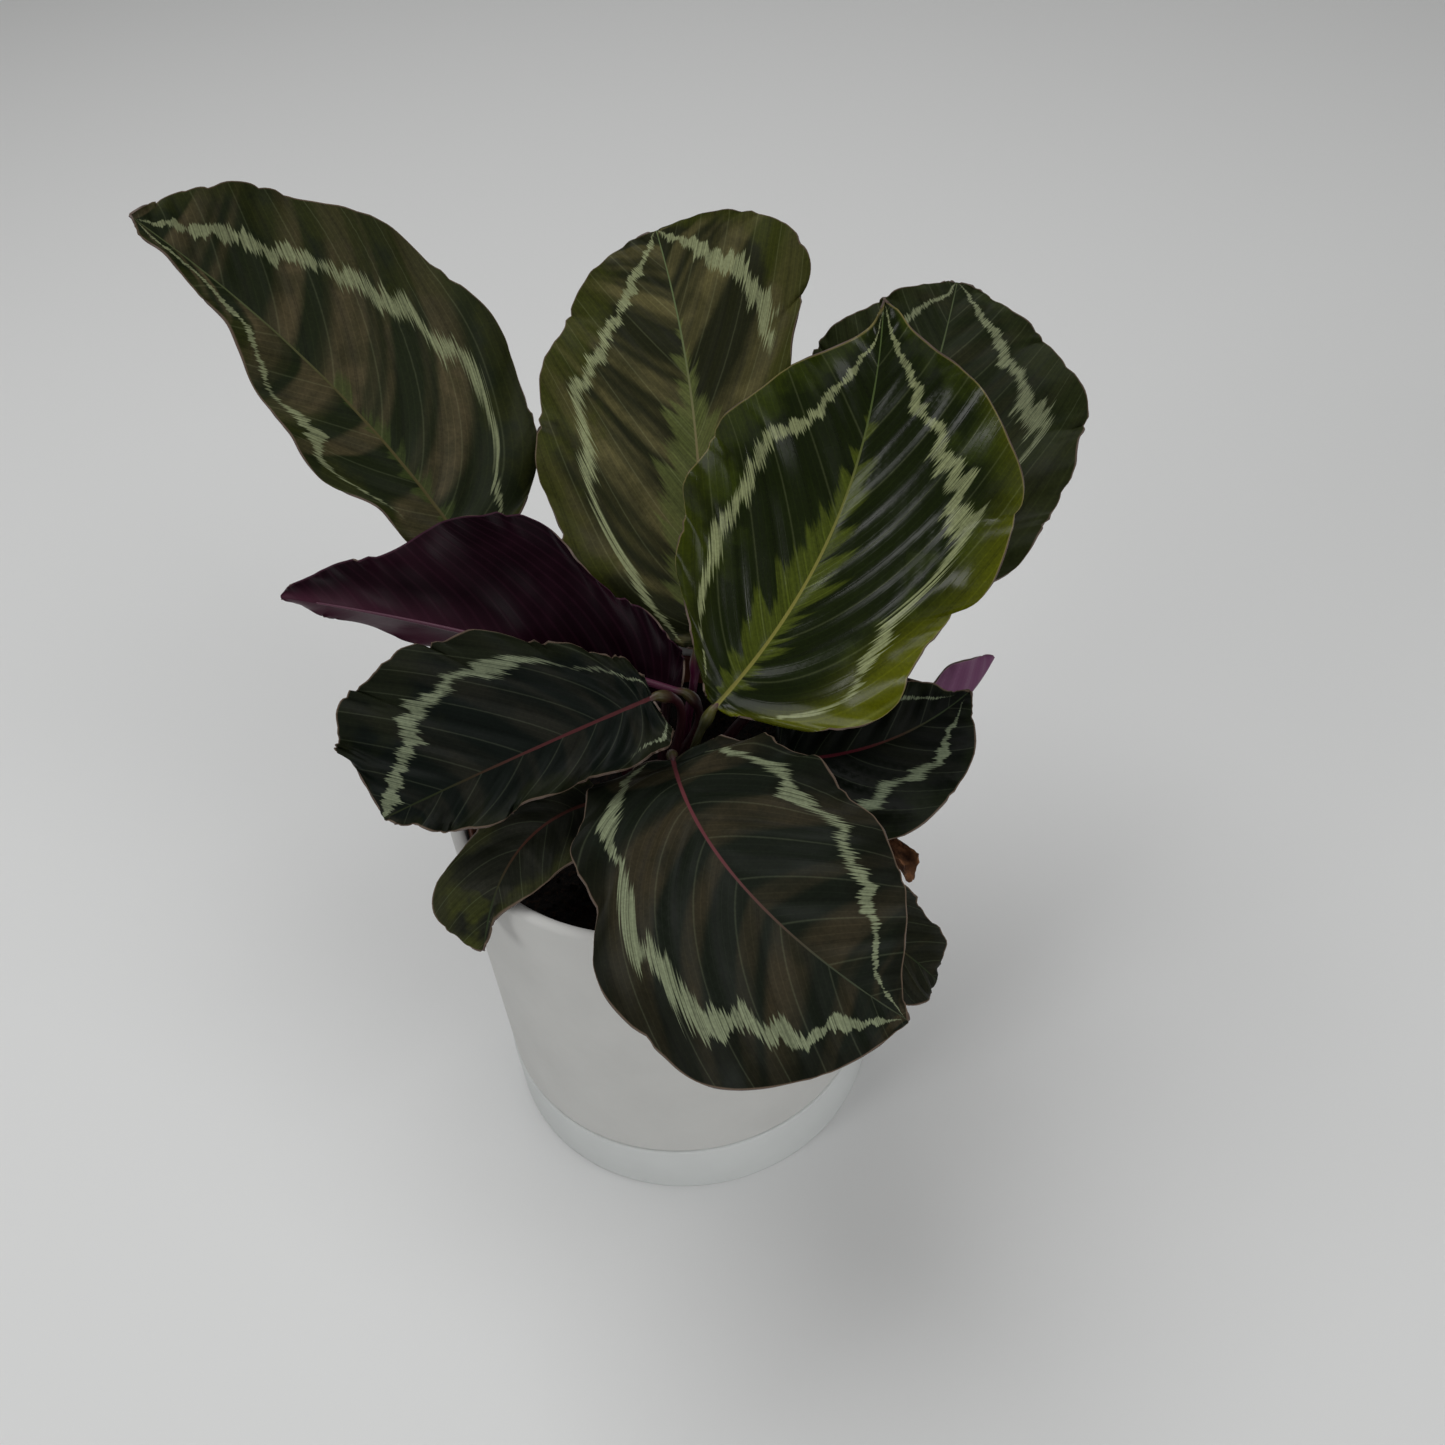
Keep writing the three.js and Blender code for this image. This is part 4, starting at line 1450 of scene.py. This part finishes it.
        Margin((18, 22, 24, 24, 20, 12)),
        (1, 14),
        LeafSkin("leaf lamina, hidden back", seed=12.2),
        RED_STALK, BACKLIT_MAUVE, bow=-4, waves=5, rows=84, columns=28, pleats=10,
    ),
)


@dataclass
class Holder:
    """The cover pot in its saucer, and the nursery pot that stands in it. Sizes in metres."""

    saucer_radius: float = 66 * MM
    saucer_height: float = 24 * MM
    saucer_wall: float = 4 * MM
    saucer_floor: float = 4 * MM
    pot_radius: float = 65.5 * MM
    pot_top: float = 144 * MM
    pot_wall: float = 4.2 * MM
    pot_floor: float = 16 * MM
    foot_radius: float = 61 * MM
    drain_radius: float = 9 * MM
    lip_round: float = 2 * MM
    edge_round: float = 1 * MM
    saucer_inner_round: float = 2 * MM
    pot_inner_round: float = 3 * MM
    nursery_round: float = 2 * MM
    gap: float = 0.3 * MM
    nursery_top: float = 138 * MM
    nursery_radius: float = 60.4 * MM
    nursery_base: float = 45 * MM
    nursery_wall: float = 1.4 * MM
    nursery_hole: float = 7 * MM

    def build_saucer(self) -> None:
        """Build the saucer: a shallow dish with a small round at its foot and its rim."""
        r, inside, small = self.saucer_radius, self.saucer_radius - self.saucer_wall, self.edge_round
        top, floor, inner = self.saucer_height, self.saucer_floor, self.saucer_inner_round
        profile = [
            *arc((r - small, small), small, -90, 0),
            *arc((r - small, top - small), small, 0, 90),
            *arc((inside + small, top - small), small, 90, 180),
            *arc((inside - inner, floor + inner), inner, 0, -90),
        ]
        # Painted light: the saucer's glaze is a lighter copy of the pot's, for the light that falls on
        # it
        glaze = MattCeramic("matt glazed saucer", 0xD2D5D4)
        finish_piece(turned("saucer_dish", profile), Slot.SAUCER, glaze, ["saucer"])

    def build_pot(self) -> None:
        """Build the cover pot: a straight wall with a rounded lip, on a narrower foot."""
        r, inside, lip = self.pot_radius, self.pot_radius - self.pot_wall, self.lip_round
        small, inner, foot = self.edge_round, self.pot_inner_round, self.foot_radius
        low, shoulder = self.saucer_floor + self.gap, self.saucer_height + self.gap
        profile = [
            (self.drain_radius, low),
            (foot - small, low),
            *arc((foot - small, low + small), small, -90, 0),
            (foot, shoulder),
            *arc((r - small, shoulder + small), small, -90, 0),
            *arc((r - lip, self.pot_top - lip), lip, 0, 90, 8),
            *arc((inside + lip, self.pot_top - lip), lip, 90, 180, 8),
            *arc((inside - inner, self.pot_floor + inner), inner, 0, -90),
            (self.drain_radius, self.pot_floor),
            (self.drain_radius, low),
        ]
        glaze = MattCeramic("matt glazed pot", 0xC9C9C6)
        finish_piece(turned("cover_pot", profile), Slot.POT, glaze, ["pot"])

    def build_nursery_pot(self) -> None:
        """Build the nursery pot: a thin tapered shell with a rolled rim."""
        low, wall, inner = self.pot_floor + self.gap, self.nursery_wall, self.nursery_round
        top, r, base, small = self.nursery_top, self.nursery_radius, self.nursery_base, self.edge_round
        profile = [
            (self.nursery_hole, low),
            (base - inner, low),
            *arc((base - inner, low + inner), inner, -80, -8),
            *arc((r - wall / 2, top - wall / 2), wall / 2, 0, 180, 8),
            (base - wall, low + wall + small),
            (base - wall - small, low + wall),
            (self.nursery_hole, low + wall),
            (self.nursery_hole, low),
        ]
        piece = turned("grow_pot", profile)
        finish_piece(piece, Slot.NURSERY_POT, BrownPolypropylene(), ["nursery_pot"])


@dataclass
class Soil:
    """The soil that fills the nursery pot, heaped and lumpy on top. Sizes in millimetres."""

    low: float = 18.0
    top: float = SOIL_TOP
    low_radius: float = 43.2
    top_radius: float = 57.1
    heap: float = 3
    lump: float = 0.8
    fine_lump: float = 1.3
    fine_size: float = 5
    crumbs: int = 260
    crumb_sizes: tuple[float, float] = (0.5, 1.6)
    seed: int = 11

    def height(self, x: float, y: float) -> float:
        """Give the height of the soil's top.

        Args:
            x: The place to the right, in millimetres.
            y: The place to the back, in millimetres.

        Returns:
            The height in millimetres.
        """
        inner = max(0.0, 1 - (x * x + y * y) / self.top_radius**2)
        lump = math.sin(0.4 * x + 1) * math.cos(0.4 * y) + math.sin(0.2 * (x - y))
        fine = noise.fractal(Vector((x, y, 0)) / self.fine_size, 0.6, 2.0, 4)
        lumps = (self.lump * lump + self.fine_lump * fine) * min(1, 3 * inner)
        return self.top + self.heap * inner + lumps

    def build_bed(self, rings: int = 72, spokes: int = 160) -> None:
        """Build the bed: a lumpy top, a side along the nursery pot and a flat bottom.

        Args:
            rings: How many rings the top has.
            spokes: How many faces each ring has.
        """

        def place(row: int, column: int) -> Vector:
            """Give a point of the bed, out over the top, down the side and in below.

            Args:
                row: The row of the point, from the middle of the top on.
                column: Its spoke.

            Returns:
                The point in metres.
            """
            angle = 2 * math.pi * column / spokes
            radius = self.top_radius * min(1.0, row / rings)
            x, y = radius * math.cos(angle), radius * math.sin(angle)
            if row <= rings:
                return Vector((x, y, self.height(x, y))) * MM
            share = (self.low_radius / self.top_radius, 0.0)[row - rings - 1]
            return Vector((x * share, y * share, self.low)) * MM

        piece = shaped_grid("soil_bed", rings + 2, spokes, place, closed=True)
        bpy.ops.object.shade_smooth_by_angle(angle=math.radians(60))
        finish_piece(piece, Slot.SOIL, PottingMix(), ["soil"])

    def build_crumbs(self) -> None:
        """Build loose crumbs of bark and peat that lie on the bed, as one piece."""
        rng = random.Random(self.seed)
        deselect_all()
        crumbs = []
        for _ in range(self.crumbs):
            radius = self.top_radius * math.sqrt(rng.random()) * 0.95
            angle = rng.uniform(0, 2 * math.pi)
            x, y = radius * math.cos(angle), radius * math.sin(angle)
            size = rng.uniform(*self.crumb_sizes)
            bpy.ops.mesh.primitive_ico_sphere_add(
                subdivisions=1,
                radius=size * MM,
                location=Vector((x, y, self.height(x, y) + 0.2 * size)) * MM,
                rotation=[rng.uniform(0, math.pi) for _ in range(3)],
                scale=(1, rng.uniform(0.5, 1), rng.uniform(0.35, 0.8)),
            )
            crumb = bpy.context.object
            for vertex in crumb.data.vertices:
                vertex.co *= rng.uniform(0.75, 1.15)
            crumbs.append(crumb)
        deselect_all()
        for crumb in crumbs:
            crumb.select_set(True)
        bpy.context.view_layer.objects.active = crumbs[0]
        bpy.ops.object.join()
        bpy.ops.object.transform_apply(location=True, rotation=True, scale=True)
        piece = bpy.context.object
        piece.name = piece.data.name = "soil_crumbs"
        piece.data.materials.clear()
        finish_piece(piece, Slot.SOIL, PottingMix("bark crumbs", 0x120C09, 0x3A2416))


@dataclass(frozen=True)
class Softbox:
    """A square soft light: where it stands, the length of its sides in metres, and its watts."""

    name: str
    place: Place
    size: float
    power: float

    def build(self, aim: Place) -> None:
        """Build the light.

        Args:
            aim: The point that it looks at.
        """
        data = bpy.data.lights.new(self.name, "AREA")
        data.size = self.size
        data.energy = self.power
        light = bpy.data.objects.new(self.name, data)
        bpy.context.collection.objects.link(light)
        light.location = self.place
        way = Vector(aim) - Vector(self.place)
        light.rotation_euler = way.to_track_quat("-Z", "Y").to_euler()


@dataclass
class Studio:
    """The plain studio: a pale floor, soft lights and the camera of the photograph's view."""

    camera_place: Place = (0.0226, -0.3092, 0.4747)
    elevation: float = 45.243
    roll: float = -5.603
    lens: float = 36.02
    sensor: float = 36
    floor_size: float = 8
    sky: int = 0xEAE9E6
    sky_strength: float = 0.2
    aim: Place = (0.0, 0.0, 0.13)
    softboxes: tuple[Softbox, ...] = (
        Softbox("overhead softbox", (-0.3, 0.45, 1.7), 1.3, 15),
        Softbox("left softbox", (-1.02, -0.66, 0.83), 0.38, 3),
        Softbox("right softbox", (0.79, -0.66, 1.36), 0.8, 5),
        Softbox("low front softbox", (0.5, -1.6, 0.2), 0.7, 6),
    )

    def build_camera(self) -> None:
        """Build the camera, tilted down and turned a little about its own axis."""
        e, r = math.radians(self.elevation), math.radians(self.roll)
        forward = Vector((0, math.cos(e), -math.sin(e)))
        level, up = Vector((1, 0, 0)), Vector((0, math.sin(e), math.cos(e)))
        right = level * math.cos(r) + up * math.sin(r)
        top = up * math.cos(r) - level * math.sin(r)
        data = bpy.data.cameras.new("camera")
        data.sensor_width = self.sensor
        data.lens = self.lens
        data.clip_start = 0.01
        camera = bpy.data.objects.new("camera", data)
        bpy.context.collection.objects.link(camera)
        turn = Matrix((right, top, -forward)).transposed().to_4x4()
        camera.matrix_world = Matrix.Translation(self.camera_place) @ turn
        bpy.context.scene.camera = camera

    def build_floor(self) -> None:
        """Build the floor: a plain matt sheet."""
        deselect_all()
        bpy.ops.mesh.primitive_plane_add(size=self.floor_size)
        floor = bpy.context.object
        floor.name = "floor"
        floor.data.materials.append(MattSheet().build())

    def build_sky(self) -> None:
        """Build the dim even light that comes from all round."""
        world = bpy.data.worlds.new("studio")
        world.use_nodes = True
        tree = world.node_tree
        tree.nodes.clear()
        light = {"Color": linear(self.sky), "Strength": self.sky_strength}
        sky = put(tree, "ShaderNodeBackground", {}, light)
        put(tree, "ShaderNodeOutputWorld", {}, {"Surface": sky})
        bpy.context.scene.world = world

    def build(self) -> None:
        """Build the floor, the lights, the sky and the camera."""
        self.build_floor()
        for softbox in self.softboxes:
            softbox.build(self.aim)
        bpy.context.scene.view_settings.view_transform = "Standard"
        self.build_sky()
        self.build_camera()


def main() -> None:
    """Build the holder, the soil, every leaf on its stalk, and the studio."""
    logging.basicConfig(level=logging.INFO, format="%(name)s: %(message)s")
    holder = Holder()
    holder.build_saucer()
    holder.build_pot()
    holder.build_nursery_pot()
    soil = Soil()
    soil.build_bed()
    soil.build_crumbs()
    undersides = {finish: finish.build() for finish in (BURGUNDY, BACKLIT_MAUVE)}
    edge = MarginSkin("pale leaf margin").build()
    for leaf in LEAVES:
        leaf.build_stalk()
        leaf.build_blade(undersides[leaf.under], edge)
    Studio().build()


if __name__ == "__main__":
    main()
